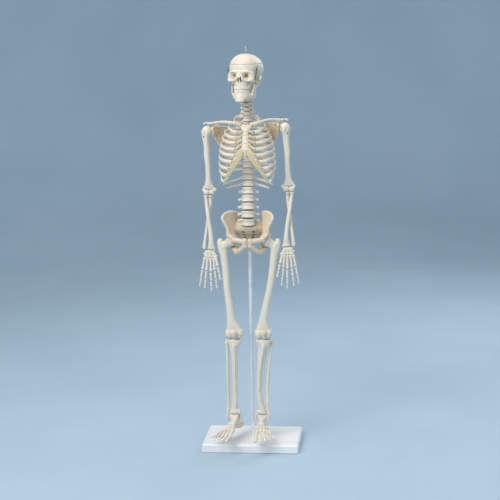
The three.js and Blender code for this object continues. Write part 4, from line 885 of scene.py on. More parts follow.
def foot(side, s):
    turn = math.radians(s * {"right": 20, "left": 8}[side])
    clay = Clay(0.8, at=joint_at(f"ankle_{side}"), turn=turn)
    sole = SOLE_Z - joint_at(f"ankle_{side}")[2]
    clay.tube([(-8.2, 0, 0, 7.4, 7.4), (0, 0, 0, 7.1, 7.1), (8.2, 0, 0, 7.5, 7.5)], soft=0.8, across=(0, 1, 0), cap=1)
    clay.tube([(0, 0.5, -3.5, 8, 7.6), (-s * 2, -9, -7, 6.2, 5.4), (-s * 3.4, -16.5, -9.6, 6.4, 5.4)], soft=1.5)
    clay.ball((-s * 3.4, -17.5, -9.8), (6.4, 5, 5.6), soft=1)
    clay.tube([(0, 1, -4, 7.6, 8), (s * 0.6, 7, -12, 6.6, 8.6), (s * 0.6, 14, sole + 14, 6.2, 8.6)], soft=3)
    clay.tube([(s * 3.5, -12, sole + 16, 5.4, 5.4), (s * 1.4, 2, sole + 15.5, 6.4, 7.6), (s * 0.8, 14, sole + 12, 6.2, 8),
               (0, 24, sole + 10.6, 6.4, 8.4), (0, 31, sole + 10, 5.2, 7)], soft=1.4, cap=4)
    clay.ball((s * 8, -7, -10.5), (3, 5, 2.2), soft=0.7, cut=True)
    blocks = [((-s * 4.4, -25.4, sole + 20.6), (8, 3.1, 6.4)), ((s * 7.4, -19.8, sole + 13.6), (5, 5.4, 4.8)),
              ((-s * 10.6, -32.4, sole + 16.4), (4.1, 3.7, 6.4)), ((-s * 3.6, -31.6, sole + 18.6), (3.1, 3.1, 5)),
              ((s * 2.4, -31.4, sole + 17), (3.1, 3.7, 5))]
    for centre, halves in blocks:
        clay.block(centre, halves, edge=2.2, soft=0.3)
    rays = [(11.8, 19, 60, 80, 4.1), (5.2, 8.5, 61, 79, 3.0), (-0.8, -2, 58, 76, 2.8), (-6.4, -12, 54, 72, 2.7),
            (-11.4, -21, 49, 66, 2.7)]
    for k, (x0, x1, knuckle, end, r) in enumerate(rays):
        def at(share, y, z, w, d):
            return (-s * (x0 + (x1 - x0) * share), y, sole + z, w, d)
        base_z = (13.6, 16, 15, 13, 10.4)[k]
        head = r + 2.4
        clay.tube([at(0, -37 + 0.5 * k, base_z, r + 0.7, r + 1.4), at(0.14, -41, base_z - 1, r - 0.1, r + 0.5),
                   at(0.38, -48, (base_z + head) / 2 + 1.4, r - 0.7, r - 0.3), at(0.6, -knuckle + 4.5, head + 0.6, r, r + 0.4),
                   at(0.68, -knuckle + 0.6, head, r + 0.4, r + 0.8)], soft=0.3)
        toes = ((0.72, 0.86), (0.90, 1.0)) if k == 0 else ((0.72, 0.84), (0.875, 0.92), (0.95, 1.0))
        for a, b in toes:
            ya = -(knuckle + (end - knuckle) * (a - 0.66) / 0.34)
            yb = -(knuckle + (end - knuckle) * (b - 0.66) / 0.34)
            z0 = head + 0.4 - (a - 0.7) * 3
            shrink = 1 if k == 0 else 1 - (a - 0.7) * 0.9
            if yb - ya > -2.6:
                clay.ball(at((a + b) / 2, (ya + yb) / 2, z0, 0, 0)[:3], (r * 0.82 * shrink, 1.5, r * 0.8 * shrink), soft=0.3)
                continue
            clay.tube([at(a, ya - 0.2, z0, r * 0.98 * shrink, r * 0.95 * shrink),
                       at((a + b) / 2, (ya + yb) / 2, z0, r * 0.66 * shrink, r * 0.64 * shrink),
                       at(b, yb + 0.5, z0 - 0.6, r * 0.86 * shrink, r * 0.76 * shrink)], soft=0.3)
    cast(f"foot_bones_{side}", clay, f"foot_{side}", f"foot_{side}", "bone_white", COOL)


# ------------------------------------------------------------ chest
TOP_Y, LOW_Y = -45.0, -67.0


def front_y(drop):
    return TOP_Y + (LOW_Y - TOP_Y) * min(drop / 50, 1)


def sternum():
    z = NOTCH_Z
    clay = Clay(0.7)
    clay.tube([(0, TOP_Y, z - 0.6, 8.4, 2.5), (0, TOP_Y - 2.6, z - 5.6, 9.8, 2.5), (0, TOP_Y - 6.4, z - 12.6, 5.8, 2.3)],
              soft=0.6, cap=1.4)
    clay.tube([(0, TOP_Y - 7.2, z - 15, 5.0, 2.2), (0, TOP_Y - 12, z - 24, 5.8, 2.3), (0, LOW_Y + 5, z - 36, 6.6, 2.4),
               (0, LOW_Y + 0.6, z - 47, 6.4, 2.2), (0, LOW_Y, z - 51, 4.2, 1.9)], soft=0.6, cap=1.4)
    clay.tube([(0, LOW_Y - 0.2, z - 52.6, 2.6, 1.5), (0, LOW_Y + 0.2, z - 59, 2.1, 1.3), (0, LOW_Y + 1, z - 64.6, 1.2, 1)], soft=1.2)
    clay.ball((0, TOP_Y, z + 2.4), (3.8, 5, 3.2), soft=1.5, cut=True)
    for _, s in SIDES:
        for drop in (13, 22, 30, 38):
            clay.ball((s * 8.2, front_y(drop), z - drop), (2.0, 3, 1.5), soft=1, cut=True)
    for drop in (21, 29, 37):
        y = front_y(drop) - 2.6
        clay.tube([(-5, y, z - drop, 0.6, 0.6), (5, y, z - drop, 0.6, 0.6)], soft=0.7, cut=True, across=(0, 0, 1))
    cast("sternum_bone", clay, "torso", "sternum", "bone_warm", WARM)


# widest half width, bone end (half width, drop, depth), seat of the cartilage on the sternum (half width, drop)
RIBS = [
    (25, (12.5, 4, 1), (10.6, 4.5)), (37, (16, 15, 1.5), (7.4, 13)), (45, (18, 26, 2), (7.2, 22)),
    (49.5, (18.5, 36, 2), (7.2, 30)), (53, (19, 48, 1), (7.2, 38)), (55, (20, 60, 1), None),
    (56.5, (26, 73, 3), None), (57, (33, 87, 7), None), (56, (40, 101, 13), None), (53, (46, 114, 20), None),
]


def rib_cage(side, s):
    z0 = NOTCH_Z
    bones, pins = [], []
    gristle = Clay(0.8)
    for i, (wide, (end_x, end_drop, end_deep), seat) in enumerate(RIBS):
        middle = SPINE[f"t{i + 1}"][2]
        head_z, back_y, w = middle + 3.5, spine_y(middle), spine_width(middle)
        end_z, end_y = z0 - end_drop, front_y(end_drop) + end_deep
        fall = head_z - end_z
        front = end_x + (wide - end_x) * 0.62
        broad = 1.6 if i == 0 else 1
        bones.append(sweep([
            (s * (w + 0.8), back_y + 2.6, head_z, 2.4, 1.8),
            (s * (w * 1.1 + wide * 0.08), back_y + 4 + wide * 0.08, head_z + 0.2, 2.1, 1.5),
            (s * (w * 1.15 + wide * 0.24), back_y + 4.6 + wide * 0.155, head_z - 1, 2.9 * broad, 1.8),
            (s * wide * 0.86, back_y + wide * 0.14, head_z - fall * 0.22, 3.5 * broad, 1.5),
            (s * wide, (back_y + end_y) / 2 + 4, head_z - fall * 0.48, 3.6 * broad, 1.4),
            (s * front, end_y + (wide - end_x) * 0.2, head_z - fall * 0.84, 3.5, 1.5),
            (s * end_x, end_y, end_z, 3.4, 1.8)], sides=14, per=9))
        if i < 8:
            pins.append(lathe([(0, -0.7), (0.9, -0.7), (1.25, -0.2), (1.25, 0.3), (0.8, 0.62), (0, 0.7)], 12,
                              at=(s * (end_x + 1.2), end_y - 1.5, end_z + 0.5), axis=(s * 0.2, -1, 0.15)))
        if seat:
            gristle.tube([(s * (end_x + 0.4), end_y - 0.1, end_z, 3.0, 1.7),
                          (s * (end_x + seat[0]) / 2, (end_y + front_y(seat[1])) / 2 - 0.6, z0 - (end_drop + seat[1]) / 2, 2.3, 1.6),
                          (s * seat[0], front_y(seat[1]), z0 - seat[1], 2.3, 1.6)], soft=0.8, across=(0, 0, 1))
    gristle.tube([(s * 5, front_y(47) - 0.4, z0 - 47, 4.4, 1.6), (s * 10, front_y(50) + 0.4, z0 - 56, 6.6, 1.7),
                  (s * 15, LOW_Y + 1.4, z0 - 65, 7.0, 1.7), (s * 21, LOW_Y + 3, z0 - 75, 6.4, 1.7),
                  (s * 28, LOW_Y + 7, z0 - 87, 5.4, 1.7), (s * 35.4, LOW_Y + 12, z0 - 100, 4.4, 1.6),
                  (s * 43, LOW_Y + 19, z0 - 112.5, 3.2, 1.5)], soft=0.8, across=(s * 0.8, 0, 0.6))
    gristle.tube([(s * 20, front_y(60) + 1, z0 - 60, 2.6, 1.6), (s * 15, LOW_Y + 0.6, z0 - 56, 2.4, 1.6)], soft=1.2, across=(0, 0, 1))
    for (end_x, drop, deep), to in (((26, 73, 3), (21, 69)), ((33, 87, 7), (28, 83)), ((40, 101, 13), (35.4, 97)), ((46, 114, 20), (43, 111.5))):
        gristle.tube([(s * (end_x + 0.4), LOW_Y + deep, z0 - drop, 2.7, 1.6), (s * to[0], LOW_Y + deep - 2.4, z0 - to[1], 2.4, 1.5)],
                     soft=1.2, across=(0, 0, 1))
    cast(f"costal_cartilage_{side}", gristle, "torso", f"rib_cage_{side}", "bone_white", CARTILAGE)
    piece(f"rib_bones_{side}", *together(*bones), "torso", f"rib_cage_{side}", "bone_white", IVORY)
    piece(f"rib_pins_{side}", *together(*pins), "torso", f"rib_cage_{side}", "bone_white", PIN)
    floating = []
    for name, (tx, ty, tz) in (("t11", (50, 0, -14)), ("t12", (43, 2, -9))):
        _, pitch, z = SPINE[name]
        w, lean = spine_width(z), spine_lean(z)
        points, faces = sweep([(s * w * 0.85, 3, 2, 2.2, 1.6), (s * 20, 12, -1, 2.3, 1.4), (s * tx * 0.78, ty * 0.3 + 8, tz * 0.55, 2.3, 1.3),
                               (s * tx, ty, tz, 1.2, 0.9)], sides=14, per=9)
        floating.append((leaned(points, lean, spine_y(z), z), faces))
    piece(f"floating_ribs_{side}", *together(*floating), "torso", ["vertebra_t11", "vertebra_t12"], "bone_white", IVORY)


# ------------------------------------------------------------ shoulders and arms
def clavicle(side, s):
    shoulder = joint_at(f"shoulder_{side}")
    reach, z = abs(shoulder[0]), NOTCH_Z
    drop = z - 12 - shoulder[2]
    clay = Clay(0.75)
    clay.tube([(s * 11.6, TOP_Y + 0.4, z - 0.2, 4.4, 4.2), (s * 15, TOP_Y - 1.4, z + 1.2, 4.0, 3.8), (s * 24, TOP_Y - 3, z + 3.8, 3.4, 3.2),
               (s * reach * 0.56, TOP_Y + 11, z + 6.4 - drop * 0.5, 3.2, 3.0), (s * reach * 0.74, TOP_Y + 23, z + 5.6 - drop * 0.8, 3.4, 2.7),
               (s * reach * 0.88, shoulder[1] - 6.4, z + 4.6 - drop, 3.3, 2.2), (s * (reach - 3), shoulder[1] - 4, z + 3.8 - drop, 3.7, 2.2)],
              soft=1, across=(0, 1, 0))
    clay.ball((s * reach * 0.8, shoulder[1] - 6, z + 2.2 - drop), (2.4, 1.8, 1.4), soft=1.5)
    cast(f"clavicle_bone_{side}", clay, "torso", f"clavicle_{side}", "bone_warm", WARM)


def scapula(side, s):
    clay = Clay(0.8, at=joint_at(f"shoulder_{side}"))
    inward = (-s * 0.83, 0.57, 0)
    clay.tube([(-s * 27.5, 11.5, 7, 12, 1.0), (-s * 27.6, 12.4, 0, 15.6, 1.0), (-s * 27.8, 13.5, -9, 16, 1.0),
               (-s * 28.6, 16.6, -21, 12.4, 1.0), (-s * 31, 20, -33, 7.2, 1.1), (-s * 32.6, 22.2, -43, 3.2, 1.6)],
              soft=1.5, across=inward)
    clay.tube([(-s * 13.6, 2.6, -7, 3, 2.4), (-s * 17.4, 9, -18, 2.2, 2.0), (-s * 24.2, 15.6, -31, 2.0, 1.9), (-s * 31, 21.6, -44, 2.4, 2.0)],
              soft=2, across=inward)
    clay.tube([(-s * 33.6, 23.2, -44, 2.0, 1.8), (-s * 38.4, 24, -26, 1.6, 1.5), (-s * 42.6, 23.4, -6, 1.6, 1.5), (-s * 40.6, 21, 5, 1.6, 1.4)],
              soft=2, across=inward)
    clay.tube([(-s * 40.6, 20.6, 5, 1.4, 1.3), (-s * 30, 13, 8.4, 1.2, 1.2), (-s * 20, 6.8, 8, 1.6, 1.5)], soft=2, across=inward)
    clay.tube([(-s * 42.5, 24.4, -1, 1.8, 2.2), (-s * 34, 23.6, 2.4, 1.4, 2.6), (-s * 24, 21.6, 6, 1.5, 3.2), (-s * 13, 16.4, 11, 2.2, 3.4),
               (-s * 4, 11.6, 15, 4.0, 2.2), (s * 2.6, 6, 16, 5.2, 1.9), (s * 4.4, 0, 15.6, 4.2, 1.7)], soft=2.2, across=(0, 1, 0))
    clay.tube([(-s * 33, 20, 1, 1.0, 3), (-s * 22, 16, 3.6, 1.0, 4.2), (-s * 15, 13, 7, 1.4, 4)], soft=2.5, across=(0, 0, 1))
    clay.tube([(-s * 11.6, 0.4, -1, 5.4, 7.8), (-s * 15.4, 2, -1, 4.0, 6.4), (-s * 20, 5.4, -2.6, 2.8, 5)], soft=3, across=(0, 1, 0))
    clay.tube([(-s * 16.4, 4, 5.4, 3.2, 3.2), (-s * 15.4, -4.4, 9.6, 2.8, 2.6), (-s * 12.6, -11.6, 7.2, 2.3, 2.2), (-s * 11.6, -13.8, 5, 2.2, 2)],
              soft=2)
    clay.ball((0, 0, 0), 11.8, soft=0.7, cut=True)
    cast(f"scapula_bone_{side}", clay, "torso", f"scapula_{side}", "bone_warm", FOSSA)


def arm(side, s):
    shoulder, elbow, wrist = (joint_at(f"{name}_{side}") for name in ("shoulder", "elbow", "wrist"))
    ex, ey, ez = elbow - shoulder
    clay = Clay(0.85, at=shoulder)
    clay.ball((0, 0, 0), 10.6, soft=1.5)
    clay.tube([(s * 2.6, 0, -2.5, 8.8, 8.6), (s * 2.8, 0, -14, 7.4, 7.2), (s * 1.8 + ex * 0.2, ey * 0.2, -28, 6.3, 6.3),
               (s * 1.2 + ex * 0.5, ey * 0.4, ez * 0.42, 5.8, 5.8), (ex * 0.7, ey * 0.6, ez * 0.62, 5.4, 5.4),
               (ex * 0.86, ey * 0.85, ez * 0.82, 6.2, 4.9), (ex, ey, ez + 9, 11.2, 3.8)], soft=3)
    clay.tube([(s * 8.4, 1.4, -1.6, 3.2, 4.4), (s * 8, 1, -9, 2.6, 3.6), (s * 6, 0, -22, 1.4, 1.8)], soft=3)
    clay.tube([(-s * 0.4, -8.6, -3.4, 2.2, 2.4), (-s * 0.4, -7, -11, 1.6, 2), (0, -5, -24, 1.0, 1.2)], soft=2.5)
    clay.tube([(s * 4.6, -9.6, 0, 1.5, 1.7), (s * 4.4, -8.8, -10, 1.2, 1.5), (s * 3.4, -6.4, -24, 0.8, 1)], soft=1.4, cut=True)
    clay.ball((s * 5.6 + ex * 0.35, -0.5, ez * 0.38), (1.6, 2.4, 8), soft=3)
    clay.tube([(ex - s * 9.6, ey, ez, 5.7, 5.7), (ex - s * 6, ey, ez, 4.7, 4.7), (ex - s * 2.4, ey, ez, 5.2, 5.2)], soft=0.8, across=(0, 1, 0), cap=1.4)
    clay.tube([(ex + s * 1, ey, ez, 4.4, 4.4), (ex + s * 5, ey - 0.4, ez, 5.2, 5.2), (ex + s * 9.4, ey, ez + 0.4, 4.4, 4.4)], soft=0.8, across=(0, 1, 0), cap=1.6)
    clay.ball((ex - s * 12.6, ey + 0.8, ez + 4.4), (3.6, 2.9, 3.8), soft=2.5)
    clay.ball((ex + s * 11, ey + 0.4, ez + 4.8), (2.6, 2.6, 3.8), soft=2.5)
    clay.ball((ex - s * 2.4, ey + 5.8, ez + 8.6), (4.8, 3.6, 5.4), soft=1.5, cut=True)
    clay.ball((ex - s * 3, ey - 5.2, ez + 8.6), (3.6, 2.6, 3.6), soft=1.5, cut=True)
    cast(f"humerus_bone_{side}", clay, f"upper_arm_{side}", f"humerus_{side}", "bone_white", COOL)
    pin = lathe([(0, -0.6), (1.1, -0.6), (1.5, -0.1), (1.4, 0.4), (0.8, 0.7), (0, 0.75)], 14,
                at=shoulder + (s * 6.6, -6.4, -11), axis=(s * 0.6, -0.8, 0))
    piece(f"humerus_pin_{side}", *pin, f"upper_arm_{side}", f"humerus_{side}", "bone_white", PIN)
    wx, wy, wz = wrist - elbow
    inner = Clay(0.75, at=elbow)
    inner.tube([(-s * 3, 8.6, 5.6, 3.9, 2.9), (-s * 3, 9.6, 0, 4.4, 2.9), (-s * 3, 7.2, -7, 4.4, 4.0), (-s * 2.8, 4.2, -14, 3.9, 4.0),
                (-s * 2, 1.8, -26, 3.6, 3.7), (s * 1 + wx * 0.3, 2 + wy * 0.3, wz * 0.38, 3.4, 3.5),
                (s * 4.4 + wx * 0.6, 2 + wy * 0.6, wz * 0.6, 3.2, 3.2), (s * 8.8 + wx, wy + 1, wz + 20, 3.1, 3.0),
                (s * 9.8 + wx, wy + 1, wz + 11, 4.1, 3.4), (s * 9.9 + wx, wy + 1, wz + 7.6, 4.2, 3.4)], soft=1.6)
    inner.tube([(-s * 3, -3.4, -8.6, 2.6, 2.0), (-s * 3, -0.4, -9.6, 3.8, 3.0)], soft=2.2)
    inner.tube([(s * 11.6 + wx, wy + 2.6, wz + 7, 1.1, 1.2), (s * 11.9 + wx, wy + 2.9, wz + 3.6, 0.9, 1.0)], soft=1)
    inner.tube([(-s * 3 + s * 2.4, 0.6, -22, 0.8, 1.2), (s * 4.4 + wx * 0.5 - s * 2.4, 0.6 + wy * 0.5, wz * 0.5, 0.6, 0.8)], soft=2)
    inner.bar((-14, 0, 0), (14, 0, 0), 6.5, soft=0.8, cut=True)
    cast(f"ulna_bone_{side}", inner, f"forearm_{side}", f"ulna_{side}", "bone_white", COOL)
    outer = Clay(0.75, at=elbow)
    outer.tube([(s * 6.4, -0.6, -6.9, 4.4, 4.4), (s * 6.4, -0.8, -9.6, 4.4, 4.4)], soft=0.6, cap=0.8)
    outer.tube([(s * 6.2, -1.2, -11, 2.9, 2.9), (s * 5.6, -2.6, -16, 3.0, 3.0), (s * 3.4, -7, -30, 3.7, 3.5),
                (wx * 0.3 + s * 0.6, -7.2 + wy * 0.3, wz * 0.42, 3.9, 3.7), (-s * 3 + wx * 0.6, -6 + wy * 0.6, wz * 0.62, 4, 3.5),
                (-s * 4.8 + wx, wy - 3, wz + 24, 4.7, 3.7), (-s * 4.6 + wx, wy - 1.4, wz + 12, 6.6, 4.6), (-s * 4.4 + wx, wy - 1, wz + 6.2, 7.2, 4.6)],
               soft=1.5, cap=1.0)
    outer.ball((s * 3.2, -1.4, -18.5), (2.2, 2.4, 3.6), soft=1.6)
    outer.tube([(-s * 11 + wx, wy - 1, wz + 8, 1.8, 2.2), (-s * 11.4 + wx, wy - 0.8, wz + 3.6, 1.4, 1.6)], soft=1.2)
    outer.ball((s * 6.4, -0.6, -5.2), (3.4, 3.4, 1.1), soft=0.8, cut=True)
    outer.tube([(-s * 3.4 + wx, wy - 6.2, wz + 5, 0.7, 0.8), (-s * 3.4 + wx, wy - 6.2, wz + 14, 0.6, 0.6)], soft=0.9, cut=True)
    outer.tube([(-s * 7 + wx, wy - 6.2, wz + 5, 0.7, 0.8), (-s * 6.6 + wx, wy - 6.0, wz + 13, 0.6, 0.6)], soft=0.9, cut=True)
    cast(f"radius_bone_{side}", outer, f"forearm_{side}", f"radius_{side}", "bone_white", COOL)
    hand(side, s, wrist)


def hand(side, s, wrist):
    clay = Clay(0.7, at=wrist)
    clay.tube([(-s * 8.4, 0, -0.6, 3.0, 3.0), (-s * 1, 0, -0.4, 3.7, 3.7), (s * 6.2, 0, -0.6, 3.0, 3.0)], soft=0.5, across=(0, 1, 0))
    row = [((-s * 7.6, -0.4, -4.4), (3.0, 3.2, 2.7)), ((-s * 2, -0.6, -3.8), (2.8, 3.4, 2.8)), ((s * 3.4, -0.4, -4.2), (2.7, 3.0, 2.5)),
           ((s * 7.2, 0.6, -5.4), (2.3, 2.6, 2.4)), ((-s * 10.2, -0.8, -9.4), (2.9, 3.0, 2.3)), ((-s * 5.8, -1.2, -10), (2.3, 3.0, 2.5)),
           ((-s * 1.2, -1.2, -9.6), (2.6, 3.4, 3.9)), ((s * 4.4, -1, -10), (3.1, 3.2, 2.9))]
    for (cx, cy, cz), (wide, deep, tall) in row:
        clay.ball((cx * 1.3, cy, cz), (wide * 1.42, deep, tall * 1.2), soft=0.8)
    rays = [((-13.4, -11), (-23.5, -57), 3.0, 9), ((-9, -13.4), (-15, -76), 2.9, 2), ((-2.8, -14), (-3.6, -82), 3.0, 2),
            ((3.6, -13.6), (10, -76), 2.9, 2), ((9.6, -12.4), (20.5, -71), 2.7, 2)]
    for k, ((rx, rz), (tx, tz), r, forward) in enumerate(rays):
        def at(share, scale):
            lift = -1 - forward * share - 1.4 * math.sin(share * 2.6)
            return (s * (rx + (tx - rx) * share), lift, rz + (tz - rz) * share, r * scale, r * scale * 0.95)
        spans = ((0, 0.40), (0.47, 0.70), (0.76, 1.0)) if k == 0 else ((0, 0.40), (0.445, 0.68), (0.72, 0.855), (0.89, 1.0))
        for n, (a, b) in enumerate(spans):
            taper = 1 - 0.13 * n
            last = n == len(spans) - 1
            tip = 0.62 if last else 0.98
            clay.tube([at(a + 0.012, 1.16 * taper), at(a + (b - a) * 0.18, 0.95 * taper), at(a + (b - a) * 0.5, 0.8 * taper),
                       at(a + (b - a) * 0.8, 0.88 * taper), at(b - 0.014, (1.1 if n == 0 else tip) * taper)], soft=0.3, cap=1.3)
            if last:
                clay.ball((s * (rx + (tx - rx) * 0.985), at(0.98, 1)[1], rz + (tz - rz) * 0.985), (r * 0.72, r * 0.55, r * 0.62), soft=0.8)
    cast(f"hand_bones_{side}", clay, f"hand_{side}", f"hand_{side}", "bone_white", COOL)


# ------------------------------------------------------------ skull, about its pivot
YAW = math.radians(-13)
CUT = 41.0


def vault(clay, grow=0.0, cut=False):
    clay.ball((0, 7, 31), (32.2 + grow, 35.6 + grow, 29.2 + grow), soft=10, cut=cut)
    clay.ball((0, -14, 33.4), (27.2 + grow, 26.6 + grow, 26.4 + grow), soft=10, cut=cut)


def skull_clay():
    clay = Clay(0.8, at=PIVOT, turn=YAW)
    vault(clay)
    clay.ball((0, 12, 16), (24, 27, 14), soft=8)
    clay.tube([(0, -30, 25, 15, 10), (0, -29.5, 14, 14.6, 12), (0, -29.4, 4, 14.2, 11.5), (0, -28.5, -3.6, 14.0, 12.4)], soft=5)
    for _, s in SIDES:
        clay.tube([(s * 3, -37.8, 27, 2.0, 2.4), (s * 11, -39, 27.4, 2.0, 2.4), (s * 19, -35.6, 26.4, 2.0, 2.4),
                   (s * 24.2, -30.8, 23.4, 2.2, 2.4), (s * 26, -29.6, 18, 2.3, 2.2), (s * 24.4, -31.6, 12, 3.2, 2.8)], soft=3.6,
                  across=(0, 0, 1))
        clay.ball((s * 20.4, -34.6, 9.6), (6.2, 5.6, 5.2), soft=4)
        clay.ball((s * 20.5, -29, 19), (5.6, 7, 8), soft=3)
        clay.tube([(s * 14, -37.6, 9.6, 2.6, 2.4), (s * 7.6, -41.4, 13, 2.6, 2.4), (s * 5.4, -42, 20, 2.0, 2.2)], soft=3, across=(0, 0, 1))
        clay.tube([(s * 23, -32.6, 8.8, 3.0, 2.4), (s * 29, -24, 8.6, 2.3, 1.5), (s * 31.8, -13, 10, 2.1, 1.4), (s * 31, -4, 12, 2.4, 1.8),
                   (s * 27.5, 2, 13, 3.0, 3.0)], soft=2.6, across=(0, 0, 1))
        clay.tube([(s * 25.4, 5.5, 13, 5.2, 6.4), (s * 24.6, 4.6, 4, 4.4, 5.4), (s * 23, 3, -3, 2.4, 3)], soft=3.5)
        clay.tube([(s * 15, -26, -2, 2.2, 4), (s * 14.4, -19, 2, 2, 3.6), (s * 13, -15, 8, 2, 4)], soft=2.5)
        clay.ball((s * 8.6, 3, 2.6), (4, 6, 3.4), soft=2)
        clay.ball((s * 15, -16, 6.4), (4.8, 9, 9), soft=3)
        clay.ball((s * 14, -15, -4), (4.6, 7, 8), soft=2)
    clay.tube([(0, -40.4, 25.6, 3.2, 2.4), (0, -43.6, 20.6, 2.8, 2.2), (0, -46.8, 15.4, 3.6, 2.0)], soft=2.4)
    clay.ball((0, 38, 13.6), (5, 3.4, 2.6), soft=4)
    clay.tube([(-18, 33, 13.4, 1.4, 1.6), (0, 38.5, 13.6, 1.6, 1.8), (18, 33, 13.4, 1.4, 1.6)], soft=3, across=(0, 0, 1))
    clay.ball((0, 3, 33.6), (30.0, 35.4, 23.4), soft=1, cut=True)
    for _, s in SIDES:
        clay.ball((s * 36.4, -22, 17), (9.4, 13, 14), soft=4, cut=True)
        clay.ball((s * 13.6, -42.4, 19.0), (7.0, 10.4, 6.2), soft=2.4, cut=True,
                  turn=((1, 0, -s * 0.18), (0, 1, 0), (s * 0.18, 0, 1)))
        clay.ball((s * 11.8, -33, 18.6), (3.8, 5.6, 3.8), soft=2, cut=True)
        clay.tube([(s * 1.7, -42, 15.4, 1.0, 9), (s * 2.7, -42, 10.6, 1.6, 8), (s * 3.0, -41, 7, 1.4, 7)], soft=0.9, cut=True)
        clay.ball((s * 22, -37, 3.4), (7, 7, 4.2), soft=3, cut=True)
        clay.ball((s * 28.4, 0, 8.4), (2.2, 1.8, 1.8), soft=1, cut=True)
        clay.ball((s * 24.5, -8, 5.6), (4.8, 4.6, 4.4), soft=1.5, cut=True)
        clay.ball((s * 10.6, -45, 27.6), (0.9, 3, 0.8), soft=0.5, cut=True)
        clay.ball((s * 11.8, -44.2, 7.2), (1.0, 3, 0.9), soft=0.5, cut=True)
    clay.bar((0, 4, -20), (0, 4, 1.6), 12.5, soft=1.2, cut=True)
    clay.bar((0, 0, -4), (0, 0, 12), 4.6, soft=1, cut=True)
    clay.block((0, 0, CUT + 30 - 0.15), (70, 70, 30), edge=0.2, soft=0.4, cut=True)
    return clay


def arch_points(count, half_x, back_y, front_y_, spread=82):
    for k in range(count):
        a = math.radians(-spread + 2 * spread * (k + 0.5) / count)
        yield k, a, half_x * math.sin(a), back_y + (front_y_ - back_y) * math.cos(a)


def teeth(name, body, node, z_root, z_tip, half_x, back, front):
    clay = Clay(0.55, at=PIVOT, turn=YAW)
    down = 1 if z_tip > z_root else -1
    for k, a, x, y in arch_points(14, half_x, back, front):
        molar = abs(k - 6.5) > 3.6
        incisor = abs(k - 6.5) < 1.6
        wide = 2.05 if molar else 1.75
        deep = 2.3 if molar else (1.15 if incisor else 1.6)
        turn = ((math.cos(a), -math.sin(a), 0), (math.sin(a), math.cos(a), 0), (0, 0, 1))
        tall = abs(z_tip - z_root) / 2
        middle = (z_tip + z_root) / 2 - (0.35 * down if molar else 0)
        clay.ball((x, y, middle), (wide, deep, tall + 0.5), soft=0.25, turn=turn)
        clay.block((x, y, z_tip - down * 1.5 - (0.5 * down if molar else 0)), (wide * 0.86, deep * 0.8, 1.5), edge=0.7, soft=0.5, turn=turn)
    cast(name, clay, body, node, "bone_warm", TOOTH)


def skull():
    cast("cranium_bone", skull_clay(), "skull", "cranium", "bone_warm", SKULL)
    teeth("upper_teeth", "skull", "cranium", -2.6, -8.3, 14.6, -22, -41.6)
    cap = Clay(0.85, at=PIVOT, turn=YAW)
    vault(cap)
    cap.ball((0, 3, 33.6), (30.0, 35.4, 23.4), soft=1, cut=True)
    cap.block((0, 0, CUT - 30 + 0.15), (70, 70, 30), edge=0.2, soft=0.4, cut=True)
    cap.bar((0, 1, 50), (0, 1, 66), 1.2, soft=0.4, cut=True)
    cast("skull_cap_shell", cap, "skull_cap", "skull_cap", "cap_warm", CAP)
    top = PIVOT[2] + 60.2
    c, s = math.cos(YAW), math.sin(YAW)
    foot_ = np.array([-s * 1.0, PIVOT[1] + c * 1.0, top])
    ring = []
    for k in range(28):
        a = 2 * math.pi * k / 28
        ring.append((foot_[0] - s * 2.3 * math.sin(a), foot_[1] + c * 2.3 * math.sin(a), top + 12.0 - 2.3 * math.cos(a)))
    ring_points, ring_faces = torus(ring, 0.62, 12)
    stem = lathe([(0, -5), (0.75, -5), (0.75, 9.4), (0.5, 9.9), (0, 10)], 20, at=foot_)
    nut = lathe([(0, -6.2), (2.4, -6.2), (2.7, -5.9), (2.7, -4.7), (2.4, -4.4), (0, -4.4)], 6, at=foot_)
    collar = lathe([(0, -0.2), (2.2, -0.2), (2.3, 0.2), (1.6, 0.9), (0.7, 1.1), (0, 1.1)], 24, at=foot_)
    piece("crown_eyelet", *together((ring_points, ring_faces), stem, nut, collar), "skull_cap", "hanging_eyelet",
          "eyelet_steel", EYELET)
    mandible()
    for side, s in SIDES:
        jaw_spring(side, s)


def torus(centres, radius, sides):
    centres = np.asarray(centres)
    count = len(centres)
    middle = centres.mean(0)
    points, faces = [], []
    for k in range(count):
        tangent = unit(centres[(k + 1) % count] - centres[k - 1])
        outward = unit(centres[k] - middle)
        side = np.cross(tangent, outward)
        for n in range(sides):
            a = 2 * math.pi * n / sides
            points.append(centres[k] + radius * (math.cos(a) * outward + math.sin(a) * side))
    for k in range(count):
        for n in range(sides):
            m, q = (n + 1) % sides, (k + 1) % count
            faces.append([k * sides + n, k * sides + m, q * sides + m, q * sides + n])
    return np.array(points), faces


